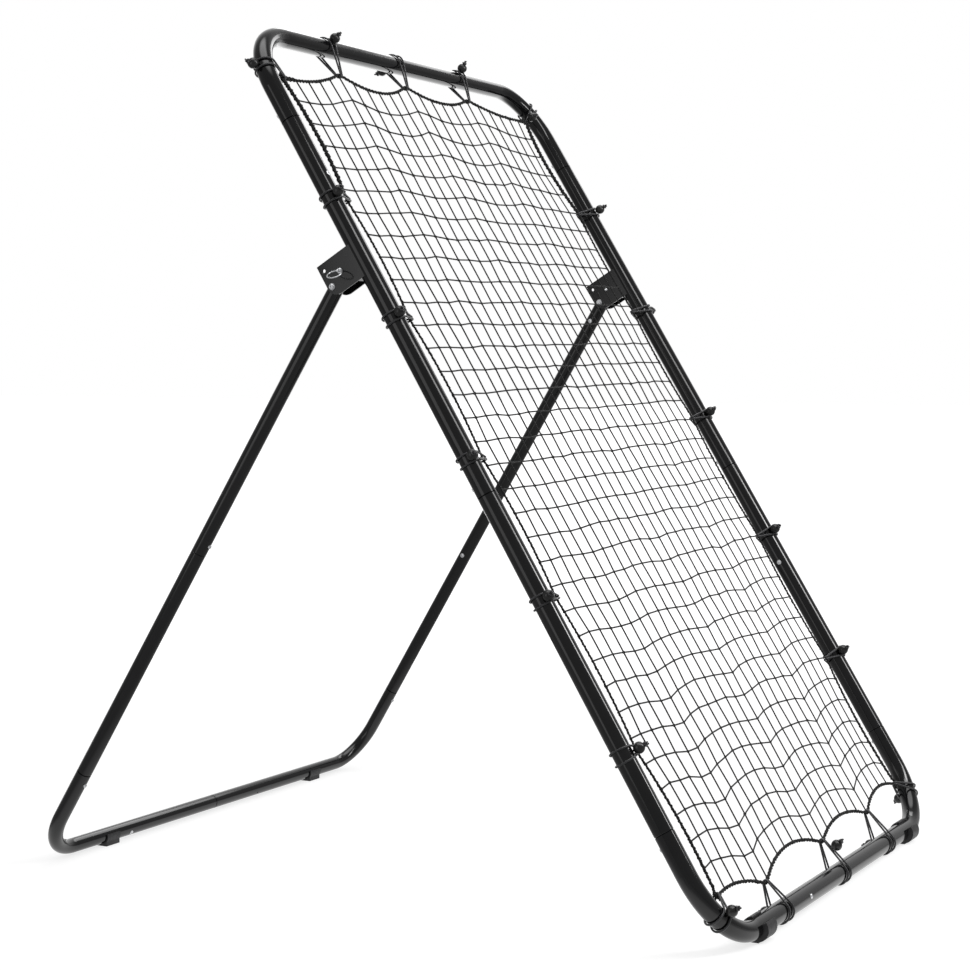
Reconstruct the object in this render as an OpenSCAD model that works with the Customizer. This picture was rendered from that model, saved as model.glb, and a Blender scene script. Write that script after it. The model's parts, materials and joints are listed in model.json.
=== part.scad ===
// Pitch back rebounder: a leaning net frame held up by a folding rear leg frame.
// All sizes are millimetres.  X runs along the bars, Y from front to back, Z up.

/* [Front frame] */
// Distance between the centre lines of the two uprights
frame_w = 1088; // [900:1:1300]
// Distance between the centre lines of the bottom bar and the top bar
frame_l = 1780; // [1560:1:2000]
// Lean of the front frame away from vertical, in degrees
lean = 31.2; // [26:0.1:36]
// Outside diameter of the front frame's tube
tube_d = 35; // [31:0.5:38]
// Wall of every tube
wall = 1.5; // [1.2:0.1:2]
// Bend radius of the front frame's corners, on the centre line
bend_r = 125; // [100:1:150]
// Length of the side arms of the top and bottom tubes, from the bar's centre line to the seam
end_arm = 200; // [175:1:260]
// Length of each lower upright tube between its seams
lower_len = 620; // [500:1:700]
// Length of the swaged end that plugs into the next tube
plug_len = 60; // [45:1:80]
// Length of the tapered shoulder at a swaged end
shoulder = 2; // [1:0.5:4]
// Radial clearance of a swaged end in the next tube
plug_gap = 0.15; // [0.05:0.05:0.3]

/* [Rear leg frame] */
// Outside diameter of the rear frame's tube
leg_d = 28; // [25:0.5:30]
// Length of a leg from the pivot to the rear bar's centre line
leg_len = 1244; // [1150:1:1320]
// Outward splay of each leg, in degrees
splay = 0.7; // [0:0.1:1.2]
// Bend radius of the rear frame's corners, on the centre line
leg_bend_r = 90; // [70:1:110]
// Distance from the rear bar's centre line to the seam above each corner
leg_low_seam = 195; // [170:1:240]
// Distance from the pivot down to the seam in the middle of a leg
leg_mid_seam = 558; // [450:1:650]
// Place across the frame of the seam in the rear bar
bar_seam = -16; // [-60:1:60]
// Length of the leg above its pivot
leg_top = 45; // [42:1:48]

/* [Hinge brackets] */
// Height of the pivot along the upright, from the bottom bar
pivot_up = 1278.4; // [1100:0.1:1300]
// Distance of the pivot behind the upright's centre line
pivot_back = 70.3; // [68:0.1:80]
// Height of a bracket along the upright
bracket_h = 64.6; // [62:0.1:90]
// Distance from the bracket's lower edge up to the pivot
bracket_drop = 19.2; // [18:0.1:30]
// Distance from the pivot to the bracket's rear edge
bracket_rear = 9.7; // [8:0.1:14]
// Gap between the two cheeks of a bracket
cheek_gap = 30; // [29:0.5:32]
// Thickness of a bracket's sheet steel
cheek_t = 2; // [1.5:0.1:2.5]
// Thickness of the web behind the tube, at its thinnest
web_t = 3; // [2:0.1:4]
// Radius of the bracket's lower rear corner
bracket_r = 20; // [10:1:22]
// Diameter of the pivot bolt
bolt_d = 6; // [5:0.1:8]
// Diameter of a lock pin
pin_d = 6; // [5:0.1:7]
// Distance from the pivot to the lock pin's hole
pin_reach = 32; // [31:0.5:34]
// Radial clearance of the bolt in its bush and of the pin in its holes
run_gap = 0.08; // [0.02:0.01:0.1]

/* [Snap buttons] */
// Diameter of a snap button
button_d = 7.5; // [6:0.1:9]
// Height of a snap button above the tube
button_out = 3; // [2:0.1:4]
// Distance from a seam to its snap button
button_from_seam = 22; // [18:1:30]

/* [Feet] */
// Length of a foot along its bar
foot_len = 40; // [30:1:60]
// Thickness of the sole under the bar
sole = 4.5; // [4.5:0.1:8]
// Thickness of a foot's arms
foot_wall = 3; // [2:0.1:4]
// Extra thickness of the pad on the front of a front foot
foot_pad = 6.5; // [4:0.1:9]
// Distance from a front foot to the bend of its corner
front_foot_gap = 1; // [0.5:0.5:30]
// Distance from a rear foot to the bend of its corner
rear_foot_gap = 86; // [20:1:90]

/* [Net] */
// Columns of gaps in the net
net_cols = 12; // [8:1:12]
// Rows of gaps in the net
net_rows = 24; // [16:1:25]
// Width of a net strand
strand = 2.4; // [2:0.1:4]
// Thickness of the net
net_t = 2; // [1.5:0.1:3]
// Diameter of the border rope
rope_d = 5; // [4:0.1:5.5]
// Distance from an upright's centre line to the rope, where a bungee holds it
side_tie = 50; // [48:1:70]
// Distance from a corner's centre line to the rope's corner
corner_tie = 44; // [42:1:60]
// Inward bulge of the rope between two bungees on an upright
side_bulge = 12; // [4:1:20]

/* [Bungees] */
// Diameter of the bungee cord
cord_d = 3.6; // [3:0.1:4]
// Diameter of a bungee ball
ball_d = 18; // [15:0.5:20]
// Gap between a ball and its tube
ball_gap = 2; // [1:0.1:3]

/* [Hidden] */

// Colours
black_paint = "#17181a";
black_plastic = "#202123";
black_cord = "#141414";
zinc = "#c9ccd0";

// Number of sides on round things; more than 12 makes them truly round
fine = 48;

// Clearance between soft or loose pieces and what they lie on
seat = 0.3;
// Clearance of a snug piece on the tube it is fixed to
snug = 0.1;
// Overshoot of a cutting solid past the faces it cuts
past = 1;
// How far the faces of two merged shapes stay apart where they run into each other
hair = 0.02;

tube_r = tube_d / 2;
leg_r = leg_d / 2;
half_w = frame_w / 2;
sides = [-1, 1];

// Floor, bars and pivot.  Both bars stand on their feet, which sets the legs' lean.
bar_z = tube_r + sole;
rear_bar_z = leg_r + sole;
pivot_z = bar_z + pivot_up * cos(lean) - pivot_back * sin(lean);
leg_drop = leg_len * cos(splay);
leg_lean = acos((pivot_z - rear_bar_z) / leg_drop);
fold = lean + leg_lean;

// The origin is under the middle of the whole object.
reach_front = tube_r + foot_wall + foot_pad;
reach_back = leg_r + foot_wall;
run_y = pivot_up * sin(lean) + pivot_back * cos(lean) + leg_drop * sin(leg_lean);
bar_y = reach_front - (reach_front + run_y + reach_back) / 2;
pivot_y = bar_y + pivot_up * sin(lean) + pivot_back * cos(lean);

// Seams, measured along the uprights and down the legs
seam_low = end_arm;
seam_mid = end_arm + lower_len;
seam_top = frame_l - end_arm;
leg_half = half_w + leg_len * sin(splay);
leg_tangent = leg_bend_r * tan((90 + splay) / 2);

// Coordinates of the front frame: X across, Y square to the net towards the back,
// Z up along the uprights from the bottom bar.
module on_front() {
    translate([0, bar_y, bar_z]) rotate([-lean, 0, 0]) children();
}

// Coordinates of the rear frame: X across, Y square to it, Z up along it from the pivot.
module on_rear() {
    translate([0, pivot_y, pivot_z]) rotate([leg_lean, 0, 0]) children();
}

// The right side as modelled, or its mirror image on the left.
module on_side(side) {
    if (side < 0) mirror([1, 0, 0]) children();
    else children();
}

// Coordinates of the right leg: Z up along the splayed tube from the pivot.
module on_leg() {
    translate([half_w, 0, 0]) rotate([0, -splay, 0]) children();
}

// ---- Tubes ----

// A straight tube along Z from 0 to len, with a swaged end below or above where asked.
module tube(d, len, plug_low = false, plug_high = false) {
    r = d / 2;
    plug_r = r - wall - plug_gap;
    low = plug_low ? [[plug_r, -plug_len], [plug_r, -shoulder], [r, 0]] : [[r, 0]];
    high = plug_high ? [[r, len], [plug_r, len + shoulder], [plug_r, len + plug_len]] : [[r, len]];
    outer = concat(low, high);
    last = len(outer) - 1;
    inner = [for (i = [last : -1 : 0]) outer[i] - [wall, 0]];
    rotate_extrude($fn = fine) polygon(concat(outer, inner));
}

// A tube bent in the XZ plane, from straight up at [radius, 0] round to the bar.  Its wall is
// a hair thinner than a straight tube's, so that its ends run into the walls that it joins.
module bend(d, radius, angle, up = true) {
    lap = 0.6 / radius * 180 / PI;
    rotate([up ? 90 : -90, 0, 0])
        rotate([0, 0, -lap]) rotate_extrude(angle = angle + 2 * lap, $fn = fine)
            translate([radius, 0]) difference() {
                circle(d = d - 2 * hair);
                circle(d = d - 2 * wall + 2 * hair);
            }
}

// A hole square to a tube along Z: turn is its direction, from +X towards +Y.
module side_hole(d, r, z, turn) {
    translate([0, 0, z]) rotate([0, 0, turn]) rotate([0, 90, 0])
        cylinder(d = d, h = r + past, $fn = fine);
}

// Turns round a tube: back is +Y, front is -Y, inner is towards the middle on the right side.
back = 90;
front = -90;
inner = 180;

button_hole = button_d + 0.6;
vent_d = 4;

// Top or bottom tube, with its bar at Z 0 and its arms pointing up.
module end_tube() {
    arm = end_arm - shoulder;
    for (side = sides) on_side(side) {
        translate([half_w - bend_r, 0, bend_r]) bend(tube_d, bend_r, 90, up = false);
        translate([half_w, 0, bend_r]) tube(tube_d, arm - bend_r);
    }
    translate([bend_r - half_w, 0, 0]) rotate([0, 90, 0]) tube(tube_d, frame_w - 2 * bend_r);
}

module top_tube() {
    color(black_paint) on_front() translate([0, 0, frame_l]) difference() {
        mirror([0, 0, 1]) end_tube();
        for (side = sides) translate([side * half_w, 0, 0])
            side_hole(button_hole, tube_r, button_from_seam - end_arm, back);
    }
}

module bottom_tube() {
    color(black_paint) on_front() difference() {
        end_tube();
        for (side = sides) translate([side * half_w, 0, 0])
            side_hole(button_hole, tube_r, seam_low - button_from_seam, back);
        for (x = bottom_rivets) translate([x, 0, 0]) rotate([0, 90, 0]) rivet_hole(tube_r, 0, bottom_rivet_turn);
    }
}

module upper_upright(side) {
    low = seam_mid + shoulder;
    color(black_paint) on_front() on_side(side) translate([half_w, 0, 0]) difference() {
        translate([0, 0, low]) tube(tube_d, seam_top - low, plug_high = true);
        side_hole(button_hole, tube_r, seam_mid + button_from_seam, back);
        side_hole(button_hole, tube_r, seam_top + button_from_seam, back);
        for (z = screw_heights) side_hole(screw_d + 2 * run_gap, tube_r, z, back);
        if (side < 0) rivet_hole(tube_r, upright_rivet_left, front);
    }
}

module lower_upright(side) {
    color(black_paint) on_front() on_side(side) translate([half_w, 0, 0]) difference() {
        translate([0, 0, seam_low]) tube(tube_d, lower_len, plug_low = true, plug_high = true);
        side_hole(button_hole, tube_r, seam_mid + button_from_seam, back);
        side_hole(button_hole, tube_r, seam_low - button_from_seam, back);
        if (side > 0) rivet_hole(tube_r, upright_rivet_right, inner);
    }
}

module upper_leg(side) {
    low = shoulder - leg_mid_seam;
    slot_w = pin_d + 2 * seat;
    color(black_paint) on_rear() on_side(side) difference() {
        on_leg() difference() {
            translate([0, 0, low]) tube(leg_d, leg_top - low);
            side_hole(button_hole, leg_r, button_from_seam - leg_mid_seam, front);
            rivet_hole(leg_r, -leg_rivet_high, inner);
        }
        translate([half_w, 0, 0]) {
            rotate([0, 90, 0]) cylinder(d = bush_d + 2 * snug, h = leg_d + 2 * past, center = true, $fn = fine);
            // The slot lets the leg swing forward off the lock pin, which stops it opening further.
            rotate([90, 0, 90]) rotate([0, 0, 90]) {
                rotate_extrude(angle = slot_angle, $fn = fine)
                    translate([pin_reach - slot_w / 2, -leg_r - past]) square([slot_w, leg_d + 2 * past]);
                translate([pin_reach, 0, 0])
                    cylinder(d = slot_w, h = leg_d + 2 * past, center = true, $fn = fine);
            }
        }
    }
}

module lower_leg(side) {
    low = leg_low_seam - leg_len;
    color(black_paint) on_rear() on_side(side) on_leg() difference() {
        translate([0, 0, low]) tube(leg_d, -leg_mid_seam - low, plug_low = true, plug_high = true);
        side_hole(button_hole, leg_r, button_from_seam - leg_mid_seam, front);
        side_hole(button_hole, leg_r, low - button_from_seam, front);
        rivet_hole(leg_r, -leg_rivet_low, inner);
    }
}

// Right-hand corner of the rear frame.  Its bar reaches the seam, or plugs in past it.
module rear_corner(bar_len, plug) {
    low = leg_tangent - leg_len;
    on_leg() {
        translate([0, 0, low]) tube(leg_d, leg_low_seam - leg_tangent - shoulder);
        translate([-leg_bend_r, 0, low]) bend(leg_d, leg_bend_r, 90 + splay, up = false);
    }
    translate([leg_half - leg_tangent, 0, -leg_drop]) rotate([0, -90, 0])
        tube(leg_d, bar_len, plug_high = plug);
}

module rear_corner_left() {
    color(black_paint) on_rear() mirror([1, 0, 0]) difference() {
        rear_corner(leg_half - leg_tangent + bar_seam, plug = true);
        on_leg() side_hole(button_hole, leg_r, leg_low_seam - leg_len - button_from_seam, front);
        translate([-bar_seam, 0, -leg_drop]) rotate([0, -90, 0])
            side_hole(button_hole, leg_r, button_from_seam, bar_button_turn);
        translate([-rear_bar_rivet, 0, -leg_drop]) rotate([0, -90, 0]) rivet_hole(leg_r, 0, front);
    }
}

module rear_corner_right() {
    color(black_paint) on_rear() difference() {
        rear_corner(leg_half - leg_tangent - bar_seam - shoulder, plug = false);
        on_leg() side_hole(button_hole, leg_r, leg_low_seam - leg_len - button_from_seam, front);
        translate([bar_seam, 0, -leg_drop]) rotate([0, 90, 0])
            side_hole(button_hole, leg_r, button_from_seam, 180 - bar_button_turn);
        translate([rear_bar_vent, 0, -leg_drop]) rotate([0, 90, 0]) side_hole(vent_d, leg_r, 0, front);
    }
}

// ---- Hinge brackets ----

bracket_half = cheek_gap / 2 + cheek_t;
bracket_low = pivot_up - bracket_drop;
bracket_back = pivot_back + bracket_rear;
web_back = tube_r + snug + web_t;
bush_d = 10;
washer_d = 12;
washer_t = 1;
screw_d = 4.8;
screw_inset = 9;
screw_heights = [bracket_low + screw_inset, bracket_low + bracket_h - screw_inset];
slot_angle = 50;
// The lock pin's place behind the upright and above the bottom bar, and its stowing hole
pin_back = pivot_back - pin_reach * sin(fold);
pin_up = pivot_up + pin_reach * cos(fold);
stow_up = pivot_up + pin_reach;

// Folded sheet-steel channel, its back hollowed to sit on the round tube.
module hinge_bracket(side) {
    color(black_paint) on_front() on_side(side) translate([half_w, 0, 0]) difference() {
        translate([-bracket_half, 0, 0]) rotate([90, 0, 90]) linear_extrude(2 * bracket_half)
            translate([0, bracket_low]) bracket_profile();
        translate([-cheek_gap / 2, web_back, bracket_low - past])
            cube([cheek_gap, bracket_back, bracket_h + 2 * past]);
        translate([0, 0, bracket_low - past])
            cylinder(r = tube_r + snug, h = bracket_h + 2 * past, $fn = fine);
        cross_hole(bolt_d + 2 * snug, pivot_back, pivot_up);
        cross_hole(pin_d + 2 * run_gap, pin_back, pin_up);
        cross_hole(pin_d + 2 * run_gap, pivot_back, stow_up);
        for (z = screw_heights) side_hole(screw_d + 2 * snug, web_back, z, back);
    }
}

// Side view of a bracket: along the tube it is straight, and its lower rear corner is round.
module bracket_profile() {
    back_in = bracket_back - bracket_r;
    difference() {
        square([bracket_back, bracket_h]);
        difference() {
            translate([back_in, 0]) square([bracket_r + past, bracket_r]);
            translate([back_in, bracket_r]) circle(r = bracket_r, $fn = fine);
            translate([back_in - past, 0]) square([past, bracket_r]);
        }
    }
}

// A hole along X through both cheeks.
module cross_hole(d, y, z) {
    translate([0, y, z]) rotate([0, 90, 0])
        cylinder(d = d, h = 2 * (bracket_half + past), center = true, $fn = fine);
}

// Pan-head screws that hold each bracket's web to its upright.
module bracket_screws() {
    head_r = 4.6;
    head_h = 2.6;
    tip = tube_r - wall - 4;
    color(zinc) on_front() for (side = sides) on_side(side)
        for (z = screw_heights) translate([half_w, 0, z]) rotate([-90, 0, 0]) difference() {
            rotate_extrude($fn = fine) polygon([
                [0, tip], [screw_d / 2, tip], [screw_d / 2, web_back + 0.05], [head_r, web_back + 0.05],
                [head_r, web_back + 1.2], [head_r - 1.2, web_back + head_h], [0, web_back + head_h]
            ]);
            translate([0, 0, web_back + head_h - 1.4]) cylinder(d = 3, h = 2 * past + 1, $fn = 6);
        }
}

bolt_seat = bracket_half + washer_t;

// Button-head pivot bolts, with their heads on the outer cheeks.
module pivot_bolts() {
    head_r = 5.5;
    head_h = 3.3;
    nut_side = -bolt_seat - nut_h - 1;
    color(zinc) on_front() for (side = sides) on_side(side)
        translate([half_w, pivot_back, pivot_up]) rotate([0, 90, 0]) difference() {
            rotate_extrude($fn = fine) polygon([
                [0, nut_side], [bolt_d / 2, nut_side], [bolt_d / 2, bolt_seat], [head_r, bolt_seat],
                [head_r, bolt_seat + 0.8], [head_r - 0.6, bolt_seat + 2], [head_r - 2, bolt_seat + head_h],
                [0, bolt_seat + head_h]
            ]);
            translate([0, 0, bolt_seat + head_h - 2]) cylinder(d = 4.6, h = 2 + past, $fn = 6);
        }
}

module pivot_washers() {
    color(zinc) on_front() for (side = sides) on_side(side)
        for (x = [-bolt_seat, bracket_half]) translate([half_w + x, pivot_back, pivot_up])
            rotate([0, 90, 0]) difference() {
                cylinder(d = washer_d, h = washer_t, $fn = fine);
                translate([0, 0, -past]) cylinder(d = bolt_d + 2 * snug, h = washer_t + 2 * past, $fn = fine);
            }
}

nut_h = 5;
nut_af = 10;

// Locking nuts on the inner ends of the pivot bolts.
module pivot_nuts() {
    corner_d = nut_af / cos(30);
    color(zinc) on_front() for (side = sides) on_side(side)
        translate([half_w - bolt_seat, pivot_back, pivot_up]) rotate([0, -90, 0]) difference() {
            union() {
                cylinder(d = corner_d, h = nut_h - 1.2, $fn = 6);
                cylinder(d = nut_af - 0.6, h = nut_h, $fn = fine);
            }
            translate([0, 0, -past]) cylinder(d = bolt_d + 2 * run_gap, h = nut_h + 2 * past, $fn = fine);
        }
}

// Steel bushes pressed through the legs; they turn on the pivot bolts.
module pivot_bushes() {
    color(zinc) on_rear() for (side = sides) on_side(side)
        translate([half_w, 0, 0]) rotate([0, 90, 0]) difference() {
            cylinder(d = bush_d, h = cheek_gap - 2 * seat, center = true, $fn = fine);
            cylinder(d = bolt_d + 2 * run_gap, h = cheek_gap + past, center = true, $fn = fine);
        }
}

// ---- Lock pins and their pull rings ----

pin_head_r = 5;
pin_head_t = 4;
pin_neck_l = 7;
pin_neck_d = 5;
ring_wire = 2.2;
ring_r = 13;
eye_at = bracket_half + pin_head_t + 4;
ring_droop = 31;

// The pin passes both cheeks, with a collar and a cross-drilled neck outside.
module lock_pin(side) {
    tip = -bracket_half - 6;
    color(zinc) on_front() on_side(side)
        translate([half_w, pin_back, pin_up]) rotate([0, 90, 0]) difference() {
            rotate_extrude($fn = fine) polygon([
                [0, tip], [pin_d / 2 - 1, tip], [pin_d / 2, tip + 1.5], [pin_d / 2, bracket_half + snug],
                [pin_head_r, bracket_half + snug], [pin_head_r, bracket_half + pin_head_t - 0.8],
                [pin_head_r - 0.8, bracket_half + pin_head_t], [pin_neck_d / 2, bracket_half + pin_head_t],
                [pin_neck_d / 2, bracket_half + pin_head_t + pin_neck_l - 1],
                [pin_neck_d / 2 - 1, bracket_half + pin_head_t + pin_neck_l],
                [0, bracket_half + pin_head_t + pin_neck_l]
            ]);
            // The ring bends through this hole, so it is bored wide enough for the curve.
            translate([0, 0, eye_at]) rotate([0, 0, lean]) rotate([90, 0, 0])
                cylinder(d = ring_wire + 2 * seat, h = 2 * pin_head_r, center = true, $fn = fine);
        }
}

// A round wire ring through the neck of a lock pin, drooping outward.
module pull_ring(side) {
    color(zinc) on_front() on_side(side)
        translate([half_w + eye_at, pin_back, pin_up]) rotate([lean, 0, 0]) rotate([0, ring_droop, 0])
            translate([ring_r, 0, 0]) rotate_extrude($fn = fine) translate([ring_r, 0]) circle(d = ring_wire, $fn = 24);
}

// ---- Snap buttons ----

leaf_t = 0.8;
leaf_w = 7;
leaf_l = 30;

// Inside radius of the swaged end that carries a button
function bore_r(d) = d / 2 - 2 * wall - plug_gap;

// A button along +X with its collar and the leaf of its spring, for a tube along Z.
module snap_button(d) {
    collar_r = button_d / 2 + 1.2;
    collar_x = sqrt(pow(bore_r(d), 2) - pow(collar_r, 2)) - seat;
    top = d / 2 + button_out;
    rotate([0, 90, 0]) rotate_extrude($fn = fine) polygon([
        [0, collar_x - 1.2], [collar_r, collar_x - 1.2], [collar_r, collar_x], [button_d / 2, collar_x],
        [button_d / 2, top - 1.2], [button_d / 2 - 1.4, top - 0.2], [0, top]
    ]);
    translate([collar_x - 1.2 - leaf_t, -leaf_w / 2, -leaf_l + collar_r]) cube([leaf_t, leaf_w, leaf_l]);
}

// The fixed half of the spring: a leaf on the far wall and the bow that joins the two.
module spring_back(d) {
    collar_r = button_d / 2 + 1.2;
    collar_x = sqrt(pow(bore_r(d), 2) - pow(collar_r, 2)) - seat;
    high_x = collar_x - 1.2 - leaf_t;
    low_x = -(sqrt(pow(bore_r(d), 2) - pow(leaf_w / 2, 2)) - snug);
    bow_r = (high_x + leaf_t - low_x) / 2;
    end_z = -leaf_l + collar_r - seat;
    lap = 0.3;
    translate([low_x + hair, hair - leaf_w / 2, end_z - lap])
        cube([leaf_t - 2 * hair, leaf_w - 2 * hair, leaf_l - seat + lap]);
    translate([low_x + bow_r, 0, end_z]) rotate([-90, 0, 0])
        rotate_extrude(angle = 180, $fn = fine) translate([bow_r - leaf_t, -leaf_w / 2]) square([leaf_t, leaf_w]);
}

// Place of a front-frame button: the tube plugs in above or below, so the spring lies that way.
module at_front_button(side, z, plug_up) {
    on_front() on_side(side) translate([half_w, 0, z]) mirror([0, 0, plug_up ? 0 : 1])
        rotate([0, 0, back]) children();
}

module at_leg_button(side, z, plug_up) {
    on_rear() on_side(side) on_leg() translate([0, 0, z]) mirror([0, 0, plug_up ? 0 : 1])
        rotate([0, 0, front]) children();
}

module at_bar_button() {
    on_rear() translate([bar_seam + button_from_seam, 0, -leg_drop]) rotate([0, 90, 0])
        rotate([0, 0, 180 - bar_button_turn]) children();
}

bar_button_turn = 180;
top_button_z = seam_top + button_from_seam;
middle_button_z = seam_mid + button_from_seam;
bottom_button_z = seam_low - button_from_seam;
leg_button_z = button_from_seam - leg_mid_seam;
corner_button_z = leg_low_seam - leg_len - button_from_seam;

module button_top(side) {
    color(zinc) at_front_button(side, top_button_z, true) snap_button(tube_d);
}

module button_middle(side) {
    color(zinc) at_front_button(side, middle_button_z, true) snap_button(tube_d);
}

module button_bottom(side) {
    color(zinc) at_front_button(side, bottom_button_z, false) snap_button(tube_d);
}

module button_leg(side) {
    color(zinc) at_leg_button(side, leg_button_z, true) snap_button(leg_d);
}

module button_corner(side) {
    color(zinc) at_leg_button(side, corner_button_z, false) snap_button(leg_d);
}

module button_rear_bar() {
    color(zinc) at_bar_button() snap_button(leg_d);
}

module front_button_springs() {
    color(zinc) for (side = sides) {
        at_front_button(side, top_button_z, true) spring_back(tube_d);
        at_front_button(side, middle_button_z, true) spring_back(tube_d);
        at_front_button(side, bottom_button_z, false) spring_back(tube_d);
    }
}

module rear_button_springs() {
    color(zinc) {
        for (side = sides) {
            at_leg_button(side, leg_button_z, true) spring_back(leg_d);
            at_leg_button(side, corner_button_z, false) spring_back(leg_d);
        }
        at_bar_button() spring_back(leg_d);
    }
}

// ---- Blind rivets ----

rivet_d = 4.8;
rivet_head_d = 9.5;
rivet_head_t = 1.8;
upright_rivet_left = 1459;
upright_rivet_right = 591;
bottom_rivets = [-185];
bottom_rivet_turn = front + 19;
leg_rivet_high = 48;
leg_rivet_low = 671;
rear_foot_x = leg_half - leg_tangent - rear_foot_gap - foot_len / 2;
rear_bar_rivet = 60 - rear_foot_x;
rear_bar_vent = 138;

module rivet_hole(r, z, turn) {
    side_hole(rivet_d + 2 * snug, r, z, turn);
}

// A domed blind rivet with the stub of its mandrel, square to a tube along Z.
module rivet(r, z, turn) {
    foot = r - wall - snug;
    translate([0, 0, z]) rotate([0, 0, turn]) rotate([0, 90, 0]) difference() {
        rotate_extrude($fn = fine) polygon([
            [0, foot - 4], [rivet_d / 2 + 0.8, foot - 3], [rivet_d / 2 + 0.8, foot - 1.4], [rivet_d / 2, foot - 0.6],
            [rivet_d / 2, r + 0.1], [rivet_head_d / 2, r - 0.4], [rivet_head_d / 2, r + 0.5],
            [rivet_head_d / 2 - 1.5, r + rivet_head_t - 0.3], [1.4, r + rivet_head_t],
            [1.4, r + rivet_head_t - 1], [0, r + rivet_head_t - 1]
        ]);
        rotate([0, 90, 0]) difference() {
            cylinder(r = r + snug / 2, h = rivet_head_d + 2, center = true, $fn = fine);
            cube([2 * r + 2, rivet_d + snug, rivet_d + snug], center = true);
        }
    }
}

module front_rivets() {
    color(zinc) on_front() {
        on_side(-1) translate([half_w, 0, 0]) rivet(tube_r, upright_rivet_left, front);
        on_side(1) translate([half_w, 0, 0]) rivet(tube_r, upright_rivet_right, inner);
        for (x = bottom_rivets) translate([x, 0, 0]) rotate([0, 90, 0]) rivet(tube_r, 0, bottom_rivet_turn);
    }
}

module rear_rivets() {
    color(zinc) on_rear() {
        for (side = sides) on_side(side) on_leg() {
            rivet(leg_r, -leg_rivet_high, inner);
            rivet(leg_r, -leg_rivet_low, inner);
        }
        mirror([1, 0, 0]) translate([-rear_bar_rivet, 0, -leg_drop]) rotate([0, -90, 0]) rivet(leg_r, 0, front);
    }
}

// ---- Feet ----

// Moulded clip snapped on to a bar, with a flat sole.  It is open from one turn to the other and
// thicker by the pad towards the front.
module foot(r, pad, sole_half, open_from, open_to) {
    rotate([90, 0, 90]) linear_extrude(foot_len, center = true) difference() {
        union() {
            circle(r = r + foot_wall, $fn = fine);
            translate([-pad, 0]) circle(r = r + foot_wall, $fn = fine);
            translate([-sole_half, -r - sole]) square([2 * sole_half, r]);
        }
        circle(r = r + snug, $fn = fine);
        polygon([[0, 0], for (a = [open_from, (open_from + open_to) / 2, open_to]) 3 * r * [cos(a), sin(a)]]);
    }
}

front_foot_x = half_w - bend_r - front_foot_gap - foot_len / 2;

module front_foot(side) {
    color(black_plastic) on_side(side) translate([front_foot_x, bar_y, bar_z])
        foot(tube_r, foot_pad, 0.55 * tube_r, 86, 150);
}

module rear_foot(side) {
    color(black_plastic) on_side(side) translate([rear_foot_x, bar_y + run_y, rear_bar_z])
        foot(leg_r, 0, leg_r, 17, 163);
}

// ---- Net and border rope ----

// Bungees on the uprights: [height along the frame, turn of its ball]
left_ties = [[337, 291], [621, 233], [889, 226], [1170, 235], [1416, 242]];
right_ties = [[370, 290], [657, 291], [943, 285], [1209, 194], [1459, 260]];
// Bungees on the bars: [place across, distance from bar to rope, turn of its ball, slide along the cord]
top_ties = [[-273, 60, 262, 0], [-20, 53, 100, 0], [239, 51, 242, 0]];
bottom_ties = [[-288, 50, 71, 0], [12, 60, -79, 38], [276, 63, 71, 0]];
// Bungees on the corners: [side, top or bottom, turn round the bend, turn of its ball, slide]
corner_ties = [[-1, 1, 19, 172, 0], [1, 1, 37, -75, 36], [-1, -1, 40, 268, 0], [1, -1, 31, 113, 0]];
// Inward bulge of the rope in each span of the top and bottom, from left to right
top_bulges = [13, 29, 25, 11];
bottom_bulges = [14, 32, 25, 22];

rope_r = rope_d / 2;
knot_r = bend_r - corner_tie;

// Direction from the middle of a corner's bend out to its bungee, and where that holds the rope
function corner_out(t) = [t[0] * cos(t[2]), t[1] * sin(t[2])];
function corner_knot(t) =
    [t[0] * (half_w - bend_r), t[1] > 0 ? frame_l - bend_r : bend_r] + knot_r * corner_out(t);
top_left = corner_knot(corner_ties[0]);
top_right = corner_knot(corner_ties[1]);
bottom_left = corner_knot(corner_ties[2]);
bottom_right = corner_knot(corner_ties[3]);

// The four edges as [distance along the edge, distance across it] at each bungee
function swap(p) = [p[1], p[0]];
bottom_edge = concat([bottom_left], [for (t = bottom_ties) [t[0], t[1]]], [bottom_right]);
top_edge = concat([top_left], [for (t = top_ties) [t[0], frame_l - t[1]]], [top_right]);
left_edge = concat([swap(bottom_left)], [for (t = left_ties) [t[0], side_tie - half_w]], [swap(top_left)]);
right_edge = concat([swap(bottom_right)], [for (t = right_ties) [t[0], half_w - side_tie]], [swap(top_right)]);
left_bulges = [for (i = [0 : len(left_ties)]) side_bulge];
right_bulges = [for (i = [0 : len(right_ties)]) -side_bulge];
top_sags = -1 * top_bulges;

function mix(a, b, t) = a + (b - a) * t;
function span_of(edge, p) = len([for (i = [1 : len(edge) - 2]) if (p >= edge[i][0]) i]);
function edge_at(edge, bulges, p) =
    let (i = span_of(edge, p), a = edge[i], b = edge[i + 1], t = (p - a[0]) / (b[0] - a[0]))
    mix(a[1], b[1], t) + 4 * bulges[i] * t * (1 - t);

// The net's surface: u runs from left to right and v from bottom to top, both 0 to 1.
function net_at(u, v) = [
    mix(edge_at(left_edge, left_bulges, mix(bottom_left[1], top_left[1], v)),
        edge_at(right_edge, right_bulges, mix(bottom_right[1], top_right[1], v)), u),
    mix(edge_at(bottom_edge, bottom_bulges, mix(bottom_left[0], bottom_right[0], u)),
        edge_at(top_edge, top_sags, mix(top_left[0], top_right[0], u)), v)
];

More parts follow.
